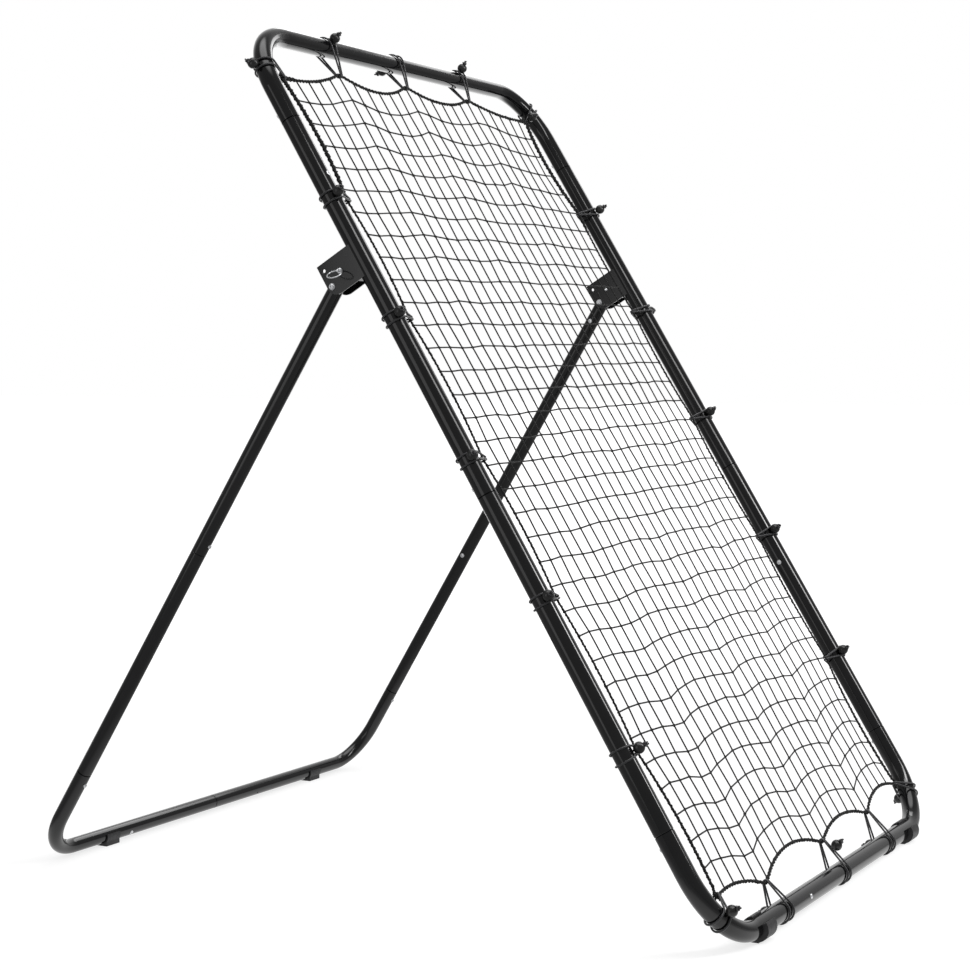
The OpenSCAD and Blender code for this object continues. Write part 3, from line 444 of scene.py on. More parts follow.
def cord_tree():
    """Lines swept to round cords, with knots where the knot value says how big."""
    tree, given, out = new_tree("Cords and knots", [
        ("Radius", "NodeSocketFloat", 0.001), ("Sides", "NodeSocketInt", 6),
        ("Knot size", "NodeSocketFloat", 0.002), ("Seed", "NodeSocketInt", 7),
        ("Material", "NodeSocketMaterial", None)])
    curve = node(tree, "GeometryNodeMeshToCurve", {"Mesh": given["Geometry"]}).outputs[0]
    girth = node(tree, "GeometryNodeInputNamedAttribute", {"Name": "girth"}, data_type="FLOAT")
    cords = node(tree, "GeometryNodeCurveToMesh", {
        "Curve": keep_length(tree, curve),
        "Profile Curve": profile_circle(tree, given["Radius"], given["Sides"]),
        "Scale": girth.outputs[0], "Fill Caps": True})
    knot = node(tree, "GeometryNodeInputNamedAttribute", {"Name": "knot"}, data_type="FLOAT")
    wanted = node(tree, "FunctionNodeCompare", {0: knot.outputs[0], 1: 0.01}, operation="GREATER_THAN")
    ball = node(tree, "GeometryNodeMeshUVSphere", {"Radius": given["Knot size"], "Segments": 8, "Rings": 5})
    turn = node(tree, "FunctionNodeRandomValue", {"Max": (3.1, 3.1, 3.1), "Seed": given["Seed"]},
                data_type="FLOAT_VECTOR")
    lumpy = node(tree, "FunctionNodeRandomValue", {"Min": (0.75, 0.7, 0.85), "Max": (1.15, 1.0, 1.2),
                                                    "Seed": given["Seed"]}, data_type="FLOAT_VECTOR")
    scale = node(tree, "ShaderNodeVectorMath", {0: lumpy.outputs[0], "Scale": knot.outputs[0]},
                 operation="SCALE")
    knots = node(tree, "GeometryNodeInstanceOnPoints", {
        "Points": given["Geometry"], "Selection": wanted.outputs[0], "Instance": ball.outputs[0],
        "Rotation": turn.outputs[0], "Scale": scale.outputs[0]})
    finish_tree(tree, [cords.outputs[0], knots.outputs[0]], given["Material"], out)
    return tree


def laid_tree(strands):
    """Strands laid round the line in a helix, as thick as the girth value says."""
    tree, given, out = new_tree(f"Laid rope of {strands}", [
        ("Strand radius", "NodeSocketFloat", 0.001), ("Lay radius", "NodeSocketFloat", 0.001),
        ("Lay", "NodeSocketFloat", 0.02), ("Steps per turn", "NodeSocketInt", 8),
        ("Sides", "NodeSocketInt", 6), ("Across", "NodeSocketVector", (0, 1, 0)),
        ("Material", "NodeSocketMaterial", None)])
    line = node(tree, "GeometryNodeMeshToCurve", {"Mesh": given["Geometry"]}).outputs[0]
    step = maths(tree, "DIVIDE", given["Lay"], given["Steps per turn"])
    even = node(tree, "GeometryNodeResampleCurve", {"Curve": line, "Length": step}, mode="LENGTH")
    kept = keep_length(tree, even.outputs[0])
    length = tree.nodes.new("GeometryNodeSplineParameter").outputs["Length"]
    tangent = tree.nodes.new("GeometryNodeInputTangent").outputs[0]
    beside = node(tree, "ShaderNodeVectorMath", {0: tangent, 1: given["Across"]}, operation="CROSS_PRODUCT")
    girth = node(tree, "GeometryNodeInputNamedAttribute", {"Name": "girth"}, data_type="FLOAT").outputs[0]
    reach = maths(tree, "MULTIPLY", given["Lay radius"], girth)
    parts = []
    for k in range(strands):
        turns = maths(tree, "ADD", maths(tree, "DIVIDE", length, given["Lay"]), k / strands)
        angle = maths(tree, "MULTIPLY", turns, 2 * math.pi)
        across = node(tree, "ShaderNodeVectorMath", {
            0: given["Across"], "Scale": maths(tree, "MULTIPLY", reach, maths(tree, "COSINE", angle))},
            operation="SCALE")
        aside = node(tree, "ShaderNodeVectorMath", {
            0: beside.outputs[0], "Scale": maths(tree, "MULTIPLY", reach, maths(tree, "SINE", angle))},
            operation="SCALE")
        shift = node(tree, "ShaderNodeVectorMath", {0: across.outputs[0], 1: aside.outputs[0]},
                     operation="ADD")
        moved = node(tree, "GeometryNodeSetPosition", {"Geometry": kept, "Offset": shift.outputs[0]})
        parts.append(node(tree, "GeometryNodeCurveToMesh", {
            "Curve": moved.outputs[0],
            "Profile Curve": profile_circle(tree, given["Strand radius"], given["Sides"]),
            "Scale": girth, "Fill Caps": True}).outputs[0])
    finish_tree(tree, parts, given["Material"], out)
    return tree


def grown(name, mesh, tree, values):
    """The plain mesh that a geometry tree makes of a mesh of lines."""
    source = plain_object(name + "_lines", mesh)
    modifier = source.modifiers.new("Grow", "NODES")
    modifier.node_group = tree
    for item in tree.interface.items_tree:
        if item.in_out == "INPUT" and item.name in values:
            modifier[item.identifier] = values[item.name]
    graph = bpy.context.evaluated_depsgraph_get()
    result = bpy.data.meshes.new_from_object(source.evaluated_get(graph), depsgraph=graph)
    bpy.data.objects.remove(source)
    result.name = name
    return plain_object(name, result)


# ---- Materials ----


def new_material(name, inputs):
    """A material with a Principled shader whose plain values are set on its own sockets."""
    material = bpy.data.materials.new(name)
    material.use_nodes = True
    tree = material.node_tree
    shader = tree.nodes["Principled BSDF"]
    for key, value in inputs.items():
        shader.inputs[key].default_value = value
    return material, tree, shader


def spot(tree, scale):
    """Object coordinates, enlarged: scale is spots per metre."""
    place = tree.nodes.new("ShaderNodeTexCoord").outputs["Object"]
    return node(tree, "ShaderNodeMapping", {"Vector": place, "Scale": (scale, scale, scale)}).outputs[0]


def noise(tree, scale, detail=3.0, roughness=0.5):
    """A noise value on the object."""
    return node(tree, "ShaderNodeTexNoise", {"Vector": spot(tree, scale), "Scale": 1.0, "Detail": detail,
                                             "Roughness": roughness}).outputs[0]


def spread(tree, value, low, high, from_low=0.3, from_high=0.7):
    """A value moved to another range."""
    return node(tree, "ShaderNodeMapRange", {"Value": value, "From Min": from_low, "From Max": from_high,
                                             "To Min": low, "To Max": high}).outputs[0]


def smooth(tree, value, low, high, from_low, from_high):
    """A value moved to another range with soft ends."""
    made = node(tree, "ShaderNodeMapRange", {"Value": value, "From Min": from_low, "From Max": from_high,
                                             "To Min": low, "To Max": high}, interpolation_type="SMOOTHSTEP")
    return made.outputs[0]


def blend_colours(tree, factor, first, second):
    """One colour turning to another."""
    made = node(tree, "ShaderNodeMix", {"Factor": factor}, data_type="RGBA")
    made.inputs[6].default_value = (*first, 1)
    made.inputs[7].default_value = (*second, 1)
    return made.outputs[2]


def bump(tree, shader, height, strength, distance):
    """Gives the shader a bumpy surface."""
    made = node(tree, "ShaderNodeBump", {"Height": height, "Strength": strength, "Distance": distance})
    tree.links.new(made.outputs[0], shader.inputs["Normal"])


def enamel(look):
    """Sprayed gloss enamel: a faint orange peel, and duller where hands and grass rub it."""
    material, tree, shader = new_material("gloss_enamel", {"Specular IOR Level": 0.5})
    rub = spread(tree, noise(tree, 9, 6, 0.6), 0, 1, 0.5, 0.78)
    tree.links.new(blend_colours(tree, rub, look.enamel, look.enamel_worn), shader.inputs["Base Color"])
    tree.links.new(spread(tree, noise(tree, 14, 4), 0.09, 0.16), shader.inputs["Roughness"])
    bump(tree, shader, noise(tree, 300, 2), 0.03, 0.0004)
    return material


def plated(name, tint, low, high, metal=1.0):
    """Bright plated or plain steel with fine brushed and cloudy places."""
    material, tree, shader = new_material(name, {"Metallic": metal})
    dark = tuple(0.72 * c for c in tint)
    tree.links.new(blend_colours(tree, noise(tree, 260, 4), tint, dark), shader.inputs["Base Color"])
    tree.links.new(spread(tree, noise(tree, 700, 3), low, high), shader.inputs["Roughness"])
    bump(tree, shader, noise(tree, 1500, 2), 0.08, 0.0001)
    return material


def moulded(name, tint, rough, grain):
    """Moulded plastic with a fine sparked grain."""
    material, tree, shader = new_material(name, {"Specular IOR Level": 0.45})
    light = tuple(1.7 * c + 0.004 for c in tint)
    tree.links.new(blend_colours(tree, spread(tree, noise(tree, 30, 5), 0, 1), tint, light),
                   shader.inputs["Base Color"])
    tree.links.new(spread(tree, noise(tree, 160, 3), rough - 0.07, rough + 0.09), shader.inputs["Roughness"])
    bump(tree, shader, noise(tree, 2600, 2), grain, 0.0002)
    return material


def cord_angle(tree):
    """How far round a cord a point lies, and how far along it, from what the cord's tree kept."""
    way = node(tree, "ShaderNodeAttribute", attribute_name="cord_turn").outputs["Vector"]
    parts = node(tree, "ShaderNodeSeparateXYZ", {0: way}).outputs
    along = node(tree, "ShaderNodeAttribute", attribute_name="cord_len").outputs["Fac"]
    return maths(tree, "ARCTAN2", parts[1], parts[0]), along


def twisted(name, tint, pitch, yarns):
    """Twine or a rope's strand: yarns laid round it, with a painted highlight in patches on their crowns and
    painted shade, darker, in the grooves between them.
    """
    material, tree, shader = new_material(name, {"Roughness": 0.82, "Sheen Weight": 0.12,
                                                 "Sheen Roughness": 0.5, "Specular IOR Level": 0.25})
    angle, along = cord_angle(tree)
    phase = maths(tree, "ADD", maths(tree, "MULTIPLY", angle, yarns),
                  maths(tree, "MULTIPLY", along, 2 * math.pi / pitch))
    ridge = spread(tree, maths(tree, "SINE", phase), 0, 1, -1, 1)
    # Painted highlight: the lighter colour that the yarns' crowns turn to in patches; the grooves keep the
    # dark tint as painted shade.
    light = tuple(2.4 * c + 0.006 for c in tint)
    painted_crown_highlight = maths(tree, "MULTIPLY", ridge, noise(tree, 900, 3))
    tree.links.new(blend_colours(tree, painted_crown_highlight, tint, light), shader.inputs["Base Color"])
    bump(tree, shader, ridge, 0.6, 0.0003)
    return material


def braided(name, look, rough):
    """The woven sheath of an elastic cord: two sets of yarns crossing, with a painted highlight on their
    crowns and painted shade, darker, in the grooves between them.
    """
    material, tree, shader = new_material(name, {"Roughness": rough, "Sheen Weight": 0.15,
                                                 "Sheen Roughness": 0.4, "Specular IOR Level": 0.5})
    angle, along = cord_angle(tree)
    turns = maths(tree, "MULTIPLY", angle, 4)
    run = maths(tree, "MULTIPLY", along, 2 * math.pi / BRAID)
    one = maths(tree, "SINE", maths(tree, "ADD", turns, run))
    two = maths(tree, "SINE", maths(tree, "SUBTRACT", turns, run))
    weave_and_painted_highlight = spread(tree, maths(tree, "MAXIMUM", one, two), 0, 1, -0.6, 1)
    # Painted highlight: the lighter colour of the yarns' crowns; the grooves keep the dark tint as painted
    # shade.
    light = tuple(3.4 * c + 0.008 for c in look.cord)
    tree.links.new(blend_colours(tree, weave_and_painted_highlight, look.cord, light), shader.inputs["Base Color"])
    bump(tree, shader, weave_and_painted_highlight, 0.5, 0.0003)
    return material


def give(names, material):
    """Puts a material on CAD nodes."""
    for name in names:
        slots = frame["nodes"][name].material_slots
        if not slots:
            frame["nodes"][name].data.materials.append(material)
        for place in slots:
            place.material = material


def nodes_in(slot):
    """CAD nodes that the record puts in a material slot."""
    return [s["node"] for s in frame["record"]["subparts"] if s["material_slot"] == slot]


# ---- Pieces ----


class REBOUNDER_OT_stage(bpy.types.Operator):
    """Sets the camera, the lamps, the surroundings and the floor"""

    bl_idname = "rebounder.stage"
    bl_label = "Stage"

    def execute(self, context):
        stage = context.scene.rebounder_stage
        context.scene.view_settings.view_transform = "Standard"
        self.camera(context, stage)
        for name, size, low, high in LAMPS:
            self.lamp(name + "_lamp", getattr(stage, name), size, low, high)
        self.surroundings(stage)
        self.floor(stage)
        return {"FINISHED"}

    def camera(self, context, stage):
        """Level camera with a small downward shift."""
        data = bpy.data.cameras.new("camera")
        data.sensor_width = 36
        data.lens = stage.lens
        data.shift_y = stage.shift
        data.clip_end = 100
        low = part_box("bottom_tube")[0]
        radius = context.scene.rebounder_frame.tube / 2
        bar = Vector((0, low.y + radius, low.z + radius))
        made = bpy.data.objects.new("camera", data)
        made.location = bar + Vector(stage.camera)
        made.rotation_euler = (math.pi / 2, 0, stage.azimuth)
        context.scene.collection.objects.link(made)
        context.scene.camera = made

    def lamp(self, name, power, size, low, high):
        """A soft box as wide and long as size, along the line from low to high, facing the object."""
        data = bpy.data.lights.new(name, "AREA")
        data.energy = power
        data.shape = "RECTANGLE"
        data.size, data.size_y = size
        middle = (Vector(low) + Vector(high)) / 2
        long_way = (Vector(high) - Vector(low)).normalized()
        back = middle - Vector((0, 0, 0.8))
        back = (back - long_way * back.dot(long_way)).normalized()
        aside = long_way.cross(back)
        made = bpy.data.objects.new(name, data)
        turn = Matrix((aside, long_way, back)).transposed()
        made.matrix_world = Matrix.Translation(middle) @ turn.to_4x4()
        bpy.context.scene.collection.objects.link(made)

    def surroundings(self, stage):
        """White to the eye, dimmer as light, and in gloss dark on the camera's side and white beyond."""
        world = bpy.data.worlds.new("surroundings")
        world.use_nodes = True
        tree = world.node_tree
        ray = tree.nodes.new("ShaderNodeLightPath").outputs
        way = tree.nodes.new("ShaderNodeTexCoord").outputs["Generated"]
        ahead = (-math.sin(stage.azimuth), math.cos(stage.azimuth), 0)
        along = node(tree, "ShaderNodeVectorMath", {0: way, 1: ahead},
                     operation="DOT_PRODUCT").outputs["Value"]
        high = node(tree, "ShaderNodeSeparateXYZ", {0: way}).outputs["Z"]
        beyond = smooth(tree, along, stage.dark, 1.0, *BEYOND)
        above = smooth(tree, high, 0.0, stage.overhead, *ABOVE)
        gloss = maths(tree, "MAXIMUM", beyond, above)
        seen = maths(tree, "MAXIMUM", ray["Is Camera Ray"], ray["Is Transmission Ray"])
        light = node(tree, "ShaderNodeMix", {0: ray["Is Glossy Ray"], 2: stage.sky, 3: gloss}).outputs[0]
        strength = node(tree, "ShaderNodeMix", {0: seen, 2: light, 3: 1.0}).outputs[0]
        back = tree.nodes["Background"]
        back.inputs["Color"].default_value = (1, 1, 1, 1)
        tree.links.new(strength, back.inputs["Strength"])
        bpy.context.scene.world = world

    def floor(self, stage):
        """A wide pale floor that shows soft shadows near the object and fades to white around it."""
        mesh = bpy.data.meshes.new("floor")
        reach = 40
        corners = [(-reach, -reach, 0), (reach, -reach, 0), (reach, reach, 0), (-reach, reach, 0)]
        mesh.from_pydata(corners, [], [(0, 1, 2, 3)])
        made = plain_object("floor", mesh)
        material, tree, shader = new_material("pale_floor", {"Roughness": 0.9, "Specular IOR Level": 0.0,
                                                             "Base Color": (0.42, 0.42, 0.42, 1)})
        ray = tree.nodes.new("ShaderNodeLightPath").outputs
        place = tree.nodes.new("ShaderNodeTexCoord").outputs["Object"]
        away = node(tree, "ShaderNodeVectorMath", {0: place}, operation="LENGTH").outputs["Value"]
        seen = maths(tree, "MULTIPLY", ray["Is Camera Ray"], smooth(tree, away, 0.72, 1.0, *WHITE_OVER))
        near = smooth(tree, ray["Ray Length"], stage.near_floor, 0.0, *NEAR_OVER)
        ahead = (-math.sin(stage.azimuth), math.cos(stage.azimuth), 0)
        along = node(tree, "ShaderNodeVectorMath", {0: place, 1: ahead},
                     operation="DOT_PRODUCT").outputs["Value"]
        beyond = smooth(tree, maths(tree, "DIVIDE", along, away), 0.0, stage.far_floor, *ALONG_FLOOR)
        far = maths(tree, "MULTIPLY", beyond, smooth(tree, ray["Ray Length"], 0.0, 1.0, *FAR_OVER))
        gloss = maths(tree, "MULTIPLY", ray["Is Glossy Ray"], maths(tree, "ADD", near, far))
        glow = maths(tree, "ADD", seen, gloss)
        light = node(tree, "ShaderNodeEmission", {"Color": (1, 1, 1, 1), "Strength": glow})
        both = node(tree, "ShaderNodeAddShader", {0: shader.outputs[0], 1: light.outputs[0]})
        tree.links.new(both.outputs[0], tree.nodes["Material Output"].inputs["Surface"])
        mesh.materials.append(material)


class REBOUNDER_OT_metal(bpy.types.Operator):
    """Paints the tubes and brackets and plates the hardware"""

    bl_idname = "rebounder.metal"
    bl_label = "Paint and plating"

    def execute(self, context):
        look = context.scene.rebounder_finish
        give(nodes_in("black_paint"), enamel(look))
        give(nodes_in("zinc"), plated("bright_zinc", look.zinc, 0.16, 0.3, 0.55))
        give(nodes_in("spring_steel"), plated("spring_steel", look.steel, 0.3, 0.45))
        return {"FINISHED"}


class REBOUNDER_OT_feet(bpy.types.Operator):
    """Gives the feet their moulded plastic"""

    bl_idname = "rebounder.feet"
    bl_label = "Feet"

    def execute(self, context):
        look = context.scene.rebounder_finish
        give(nodes_in("foot_plastic"), moulded("foot_plastic", look.plastic, 0.5, 0.35))
        return {"FINISHED"}


class REBOUNDER_OT_net(bpy.types.Operator):
    """Ties the net: knotted twine, wavy where the rope is scalloped"""

    bl_idname = "rebounder.net"
    bl_label = "Net"

    def execute(self, context):
        tubes, net, _ = sizes(context)
        shape = NetShape(tubes, net)
        place = front_matrix(tubes)
        chance = random.Random(20)
        cols, rows = net.columns, net.rows

        def knot_at(i, j):
            across, up = shape.at(i / cols, j / rows)
            inside = 0 < i < cols and 0 < j < rows
            stray = net.slack if inside else 0
            return (across + chance.uniform(-stray, stray), chance.uniform(-stray, stray) / 2,
                    up + chance.uniform(-stray, stray))

        knots = [[place @ Vector(knot_at(i, j)) for j in range(rows + 1)] for i in range(cols + 1)]
        lines = [knots[i] for i in range(1, cols)]
        lines += [[knots[i][j] for i in range(cols + 1)] for j in range(1, rows)]
        upright = cols - 1
        size, girth = [], []
        for k, line in enumerate(lines):
            ends = {0, len(line) - 1}
            for i in range(len(line)):
                size.append(END_KNOT if i in ends else (1.0 if k < upright else 0.0))
                girth.append(1.0 if k < upright else LEVEL_GIRTH)
        look = context.scene.rebounder_finish
        made = grown("net", line_mesh("net", lines, knot=size, girth=girth), cord_tree(), {
            "Radius": net.twine / 2, "Sides": 6, "Knot size": net.knot / 2,
            "Material": twisted("net_twine", look.twine, 0.004, 2)})
        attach(made, FRONT)
        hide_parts("net")
        return {"FINISHED"}


class REBOUNDER_OT_rope(bpy.types.Operator):
    """Lays the border rope of three strands and lashes it with twine"""

    bl_idname = "rebounder.rope"
    bl_label = "Border rope"

    def execute(self, context):
        tubes, net, _ = sizes(context)
        shape = NetShape(tubes, net)
        place = front_matrix(tubes)
        flat = shape.rope()
        line = [place @ Vector((x, 0, z)) for x, z in flat]
        total = sum((line[k] - line[k - 1]).length for k in range(len(line)))
        girth = [self.girth(shape, net, x, z) for x, z in flat]
        across = place.to_3x3() @ Vector((0, 1, 0))
        look = context.scene.rebounder_finish
        radius = net.rope / 2
        strand = radius / (1 + 2 / math.sqrt(3))
        rope_line = line_mesh("border_rope", [line], closed=True, girth=girth)
        rope = grown("border_rope", rope_line, laid_tree(3), {
            "Strand radius": strand * STRAND_FILL, "Lay radius": radius - strand,
            "Lay": total / round(total / net.lay), "Steps per turn": 9, "Sides": 7, "Across": across,
            "Material": twisted("rope_strand", look.twine, 0.006, 5)})
        lashing_line = line_mesh("rope_lashing", [line], closed=True, girth=girth)
        lashing = grown("rope_lashing", lashing_line, laid_tree(1), {
            "Strand radius": net.twine * LASHING_GIRTH, "Lay radius": radius,
            "Lay": total / round(total / net.lashing), "Steps per turn": 9, "Sides": 5, "Across": across,
            "Material": twisted("lashing_twine", look.twine, 0.004, 2)})
        gathers = self.gathers(net, line, girth)
        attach(rope, FRONT)
        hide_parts("border_rope")
        for piece in (lashing, gathers):
            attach(piece, FRONT)
        return {"FINISHED"}

    @staticmethod
    def girth(shape, net, x, z):
        """Full on the bars, thick below the top corners and thinner along the sides."""
        if abs(x) < shape.half - SIDE_BAND:
            return 1.0
        low = min(max((z - THIN_FROM) / THIN_OVER, 0), 1)
        high = min(max((z - THICK_FROM) / THICK_OVER, 0), 1)
        return mix(mix(1.0, net.side_girth, low), net.top_girth, high)

    @staticmethod
    def gathers(net, line, girth):
        """Knots of twine along the rope, uneven in size and place."""
        chance = random.Random(11)
        look = bpy.context.scene.rebounder_finish
        spots, size = [], []
        for k in range(len(line) - 1):
            stray = Vector([chance.uniform(-1, 1) for _ in range(3)]) * net.rope * GATHER_STRAY * girth[k]
            spots.append([line[k] + stray, line[k + 1] + stray])
            size += [girth[k] * chance.uniform(GATHER_LEAST, 1.0), 0]
        threads = line_mesh("rope_gathers", spots, knot=size, girth=[GATHER_THREAD] * len(size))
        return grown("rope_gathers", threads, cord_tree(), {
            "Radius": net.twine / 2, "Sides": 4, "Knot size": net.gather / 2,
            "Material": twisted("gather_twine", look.twine, 0.003, 2)})


class Tie:
    """One bungee: its matrix into the frame, with the tube at its origin and the rope on its +X."""

    def __init__(self, place, reach, turn, slide, sizes_of):
        tubes, net, cords = sizes_of
        self.place = place
        self.cord = cords.cord / 2
        self.loop = tubes.tube / 2 + cords.seat + self.cord
        self.eye = net.rope / 2 + self.cord + EYE_SEATS * cords.seat
        self.centre = reach + cords.nip
        self.leave = math.acos((self.loop - self.eye) / self.centre)
        self.turn = -self.leave if slide > 0 else math.radians(turn)
        self.slide = slide
        beside = self.cord + cords.seat + cords.ball / 2
        between = tubes.tube / 2 + cords.gap + cords.ball / 2
        self.out = self.loop + beside if slide > 0 else between
        self.pair = self.cord * PAIR_APART
        apart = math.sqrt(beside ** 2 - (between - self.loop) ** 2)
        ball_x = 0 if slide > 0 else self.loop * math.cos(self.turn)
        self.spread = (apart - self.pair) / (self.centre + self.eye - ball_x)

    def ball_matrix(self):
        """The ball's place, with its bore along Z."""
        swing = Matrix.Rotation(self.turn, 4, "Z")
        beside = Matrix.Translation((self.out, self.slide, 0))
        return self.place @ swing @ beside @ Matrix.Rotation(math.pi / 2, 4, "Y")

    def loop_line(self, side, steps=44):
        """One of the two cords: round the tube, straight to the rope, round it and back.

        The two lie together at the rope and spread towards the ball, which sits between them.
        """
        run = math.sqrt(self.centre ** 2 - (self.loop - self.eye) ** 2)
        flat = []
        for k in range(steps + 1):
            angle = self.leave + (2 * math.pi - 2 * self.leave) * k / steps
            flat.append(Vector((self.loop * math.cos(angle), self.loop * math.sin(angle))))
        down = flat[-1]
        way = Vector((math.sin(self.leave), math.cos(self.leave)))
        straight, bend = 10, 12
        flat += [down + way * run * k / straight for k in range(1, straight)]
        for k in range(bend + 1):
            angle = -self.leave + 2 * self.leave * k / bend
            flat.append(Vector((self.centre + self.eye * math.cos(angle), self.eye * math.sin(angle))))
        back = Vector((way.x, -way.y))
        flat += [flat[0] + back * run * k / straight for k in range(straight - 1, 0, -1)]
        beside = [self.pair + (self.centre + self.eye - p.x) * self.spread for p in flat]
        return [self.place @ Vector((p.x, p.y, side * z)) for p, z in zip(flat, beside)]

    def knot_line(self, cords, chance, steps=54):
        """The cord's two ends: up through the ball, once round in a trefoil knot on it, and cut off."""
        matrix = self.ball_matrix()
        half = cords.ball / 2
        start = chance.uniform(0, 2 * math.pi)
        height = half + self.cord * KNOT_HEIGHT
        points = [Vector((0, 0, z)) for z in (-half - self.cord * 1.2, -half / 2, half * 0.8)]
        for k in range(steps + 1):
            angle = 2 * math.pi * k / steps
            reach = self.cord * (KNOT_REACH + KNOT_SWING * math.cos(3 * angle))
            points.append(Vector((reach * math.cos(2 * angle + start), reach * math.sin(2 * angle + start),
                                  height + self.cord * KNOT_RISE * math.sin(3 * angle))))
        return [matrix @ p for p in points]

    def tail_line(self, cords, chance, side):
        """One of the two cut ends beyond the knot, spread a little from the other."""
        matrix = self.ball_matrix()
        half = cords.ball / 2
        end = half + cords.tail * chance.uniform(0.86, 1.0)
        turn = chance.uniform(-0.5, 0.5)
        aside = Vector((math.cos(turn), math.sin(turn), 0)) * side
        foot = Vector((0, 0, half + self.cord * TAIL_FOOT)) + aside * self.cord * TAIL_GAP
        tip = Vector((0, 0, end)) + aside * self.cord * chance.uniform(0.5, 1.3)
        middle = (foot + tip) / 2 + aside * self.cord * TAIL_BOW
        return [matrix @ p for p in (foot, middle, tip)]


def all_ties(context):
    """Every bungee by the CAD node that it belongs to."""
    given = sizes(context)
    tubes, net, _ = given
    front = front_matrix(tubes)
    half, length, bend = tubes.width / 2, tubes.length, tubes.bend
    ties = {}
    for name, side, spots in (("left", -1, LEFT_TIES), ("right", 1, RIGHT_TIES)):
        ties[name] = [Tie(front @ mirror(side) @ Matrix.Translation((half, 0, z)) @ mirror(-1),
                          net.side_tie, turn, 0, given) for z, turn in spots]
    quarter = math.pi / 2
    ties["top"] = [Tie(front @ Matrix.Translation((x, 0, length)) @ Matrix.Rotation(quarter, 4, "Y"),
                       reach, turn, slide, given) for x, reach, turn, slide in TOP_TIES]
    ties["bottom"] = [Tie(front @ Matrix.Translation((x, 0, 0)) @ Matrix.Rotation(-quarter, 4, "Y"),
                          reach, turn, slide, given) for x, reach, turn, slide in BOTTOM_TIES]
    ties["corner"] = []
    for side, up, round_bend, turn, slide in CORNER_TIES:
        middle = Matrix.Translation((half - bend, 0, length - bend if up > 0 else bend))
        swing = Matrix.Rotation(math.radians(-up * round_bend), 4, "Y")
        place = front @ mirror(side) @ middle @ swing @ Matrix.Translation((bend, 0, 0)) @ mirror(-1)
        ties["corner"].append(Tie(place, net.corner_tie, turn, slide, given))
    return ties


class REBOUNDER_OT_bungees(bpy.types.Operator):
    """Loops the elastic cords round tube and rope, with their knotted ends through the balls"""

    bl_idname = "rebounder.bungees"
    bl_label = "Bungee cords"

    def execute(self, context):
        cords = context.scene.rebounder_bungee
        look = context.scene.rebounder_finish
        sheath = braided("braided_sheath", look, 0.42)
        taut = braided("taut_sheath", look, 0.2)
        tree = cord_tree()
        chance = random.Random(4)
        for name, ties in all_ties(context).items():
            lines = []
            for tie in ties:
                lines += [tie.loop_line(side) for side in (-1, 1)]
            count = sum(len(line) for line in lines)
            loops = grown("bungees_" + name, line_mesh(name, lines, closed=True, knot=[0] * count,
                                                       girth=[1] * count),
                          tree, {"Radius": cords.cord / 2, "Sides": 10, "Material": sheath})
            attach(loops, FRONT)
            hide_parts("bungees_" + name)
            tails = [tie.knot_line(cords, chance) for tie in ties]
            tails += [tie.tail_line(cords, chance, side) for tie in ties for side in (-1, 1)]
            count = sum(len(line) for line in tails)
            ends = grown("bungee_ends_" + name, line_mesh(name, tails, knot=[0] * count, girth=[1] * count),
                         tree, {"Radius": cords.cord * END_GIRTH, "Sides": 8, "Material": taut})
            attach(ends, FRONT)
        return {"FINISHED"}


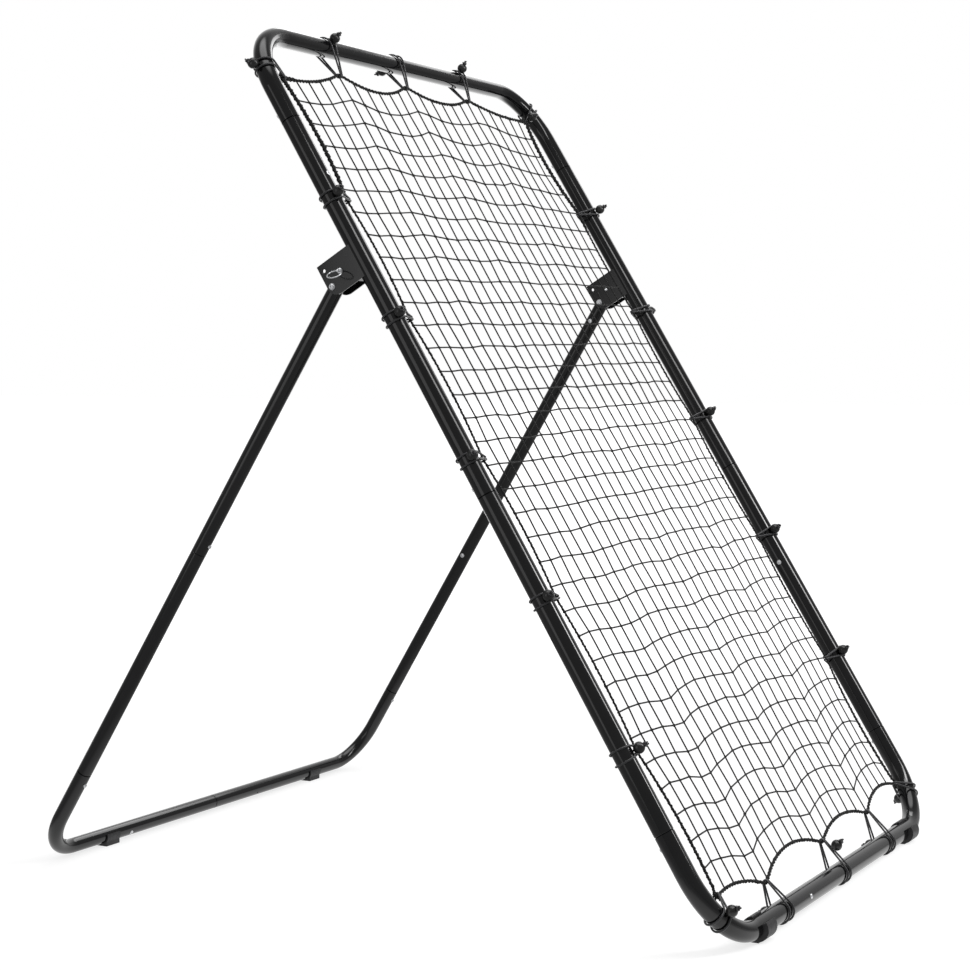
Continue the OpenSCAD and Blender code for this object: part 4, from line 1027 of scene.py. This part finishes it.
class REBOUNDER_OT_balls(bpy.types.Operator):
    """Turns the bungee balls: bored, with a moulding line round the middle and a collar at each end"""

    bl_idname = "rebounder.balls"
    bl_label = "Balls"

    def execute(self, context):
        cords = context.scene.rebounder_bungee
        look = context.scene.rebounder_finish
        finish = moulded("ball_plastic", look.ball, 0.27, 0.15)
        for name, ties in all_ties(context).items():
            made = lathe("balls_" + name, self.profile(cords), [tie.ball_matrix() for tie in ties])
            made.data.materials.append(finish)
            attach(made, FRONT)
            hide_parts("balls_" + name)
        return {"FINISHED"}

    @staticmethod
    def profile(cords):
        """Half of a bored ball's section, from the rim of one bore to that of the other."""
        radius = cords.ball / 2
        bore = cords.cord / 2 + BORE_GAP
        first = math.asin((bore + RIM) / radius)
        steps = 22
        outline = []
        for k in range(steps + 1):
            angle = mix(first, math.pi - first, k / steps)
            bulge = MOULD_LINE if k == steps // 2 else 0
            outline.append(((radius + bulge) * math.sin(angle), (radius + bulge) * math.cos(angle)))
        high = outline[0][1]
        lip = [(bore + out, high + up) for out, up in COLLAR]
        low = [(r, -z) for r, z in lip]
        return lip[::-1] + outline + low


# ---- Add-on ----

STEPS = [("stage", "Stage"), ("metal", "Metal"), ("feet", "Feet"), ("net", "Net"), ("rope", "Rope"),
         ("bungees", "Bungees"), ("balls", "Balls")]


class REBOUNDER_PT_panel(bpy.types.Panel):
    """Lists the steps of the rebounder"""

    bl_label = "Rebounder"
    bl_idname = "REBOUNDER_PT_panel"
    bl_space_type = "VIEW_3D"
    bl_region_type = "UI"
    bl_category = "Rebounder"

    def draw(self, context):
        for step, label in STEPS:
            self.layout.operator("rebounder." + step, text=label)
        for group in (context.scene.rebounder_net, context.scene.rebounder_bungee):
            for key in group.__annotations__:
                self.layout.prop(group, key)


GROUPS = {"rebounder_frame": FrameSizes, "rebounder_net": NetSizes, "rebounder_bungee": BungeeSizes,
          "rebounder_finish": Finishes, "rebounder_stage": StageSettings}
CLASSES = [*GROUPS.values(), REBOUNDER_OT_stage, REBOUNDER_OT_metal, REBOUNDER_OT_feet, REBOUNDER_OT_net,
           REBOUNDER_OT_rope, REBOUNDER_OT_bungees, REBOUNDER_OT_balls, REBOUNDER_PT_panel]


def register():
    """Registers the classes and hangs the settings on the scene."""
    for kind in CLASSES:
        bpy.utils.register_class(kind)
    for key, kind in GROUPS.items():
        setattr(bpy.types.Scene, key, PointerProperty(type=kind))


def unregister():
    """Undoes register."""
    for key in GROUPS:
        delattr(bpy.types.Scene, key)
    for kind in reversed(CLASSES):
        bpy.utils.unregister_class(kind)


def main():
    """Makes every piece in order."""
    register()
    for step, _ in STEPS:
        getattr(bpy.ops.rebounder, step)()


if __name__ == "__main__":
    main()
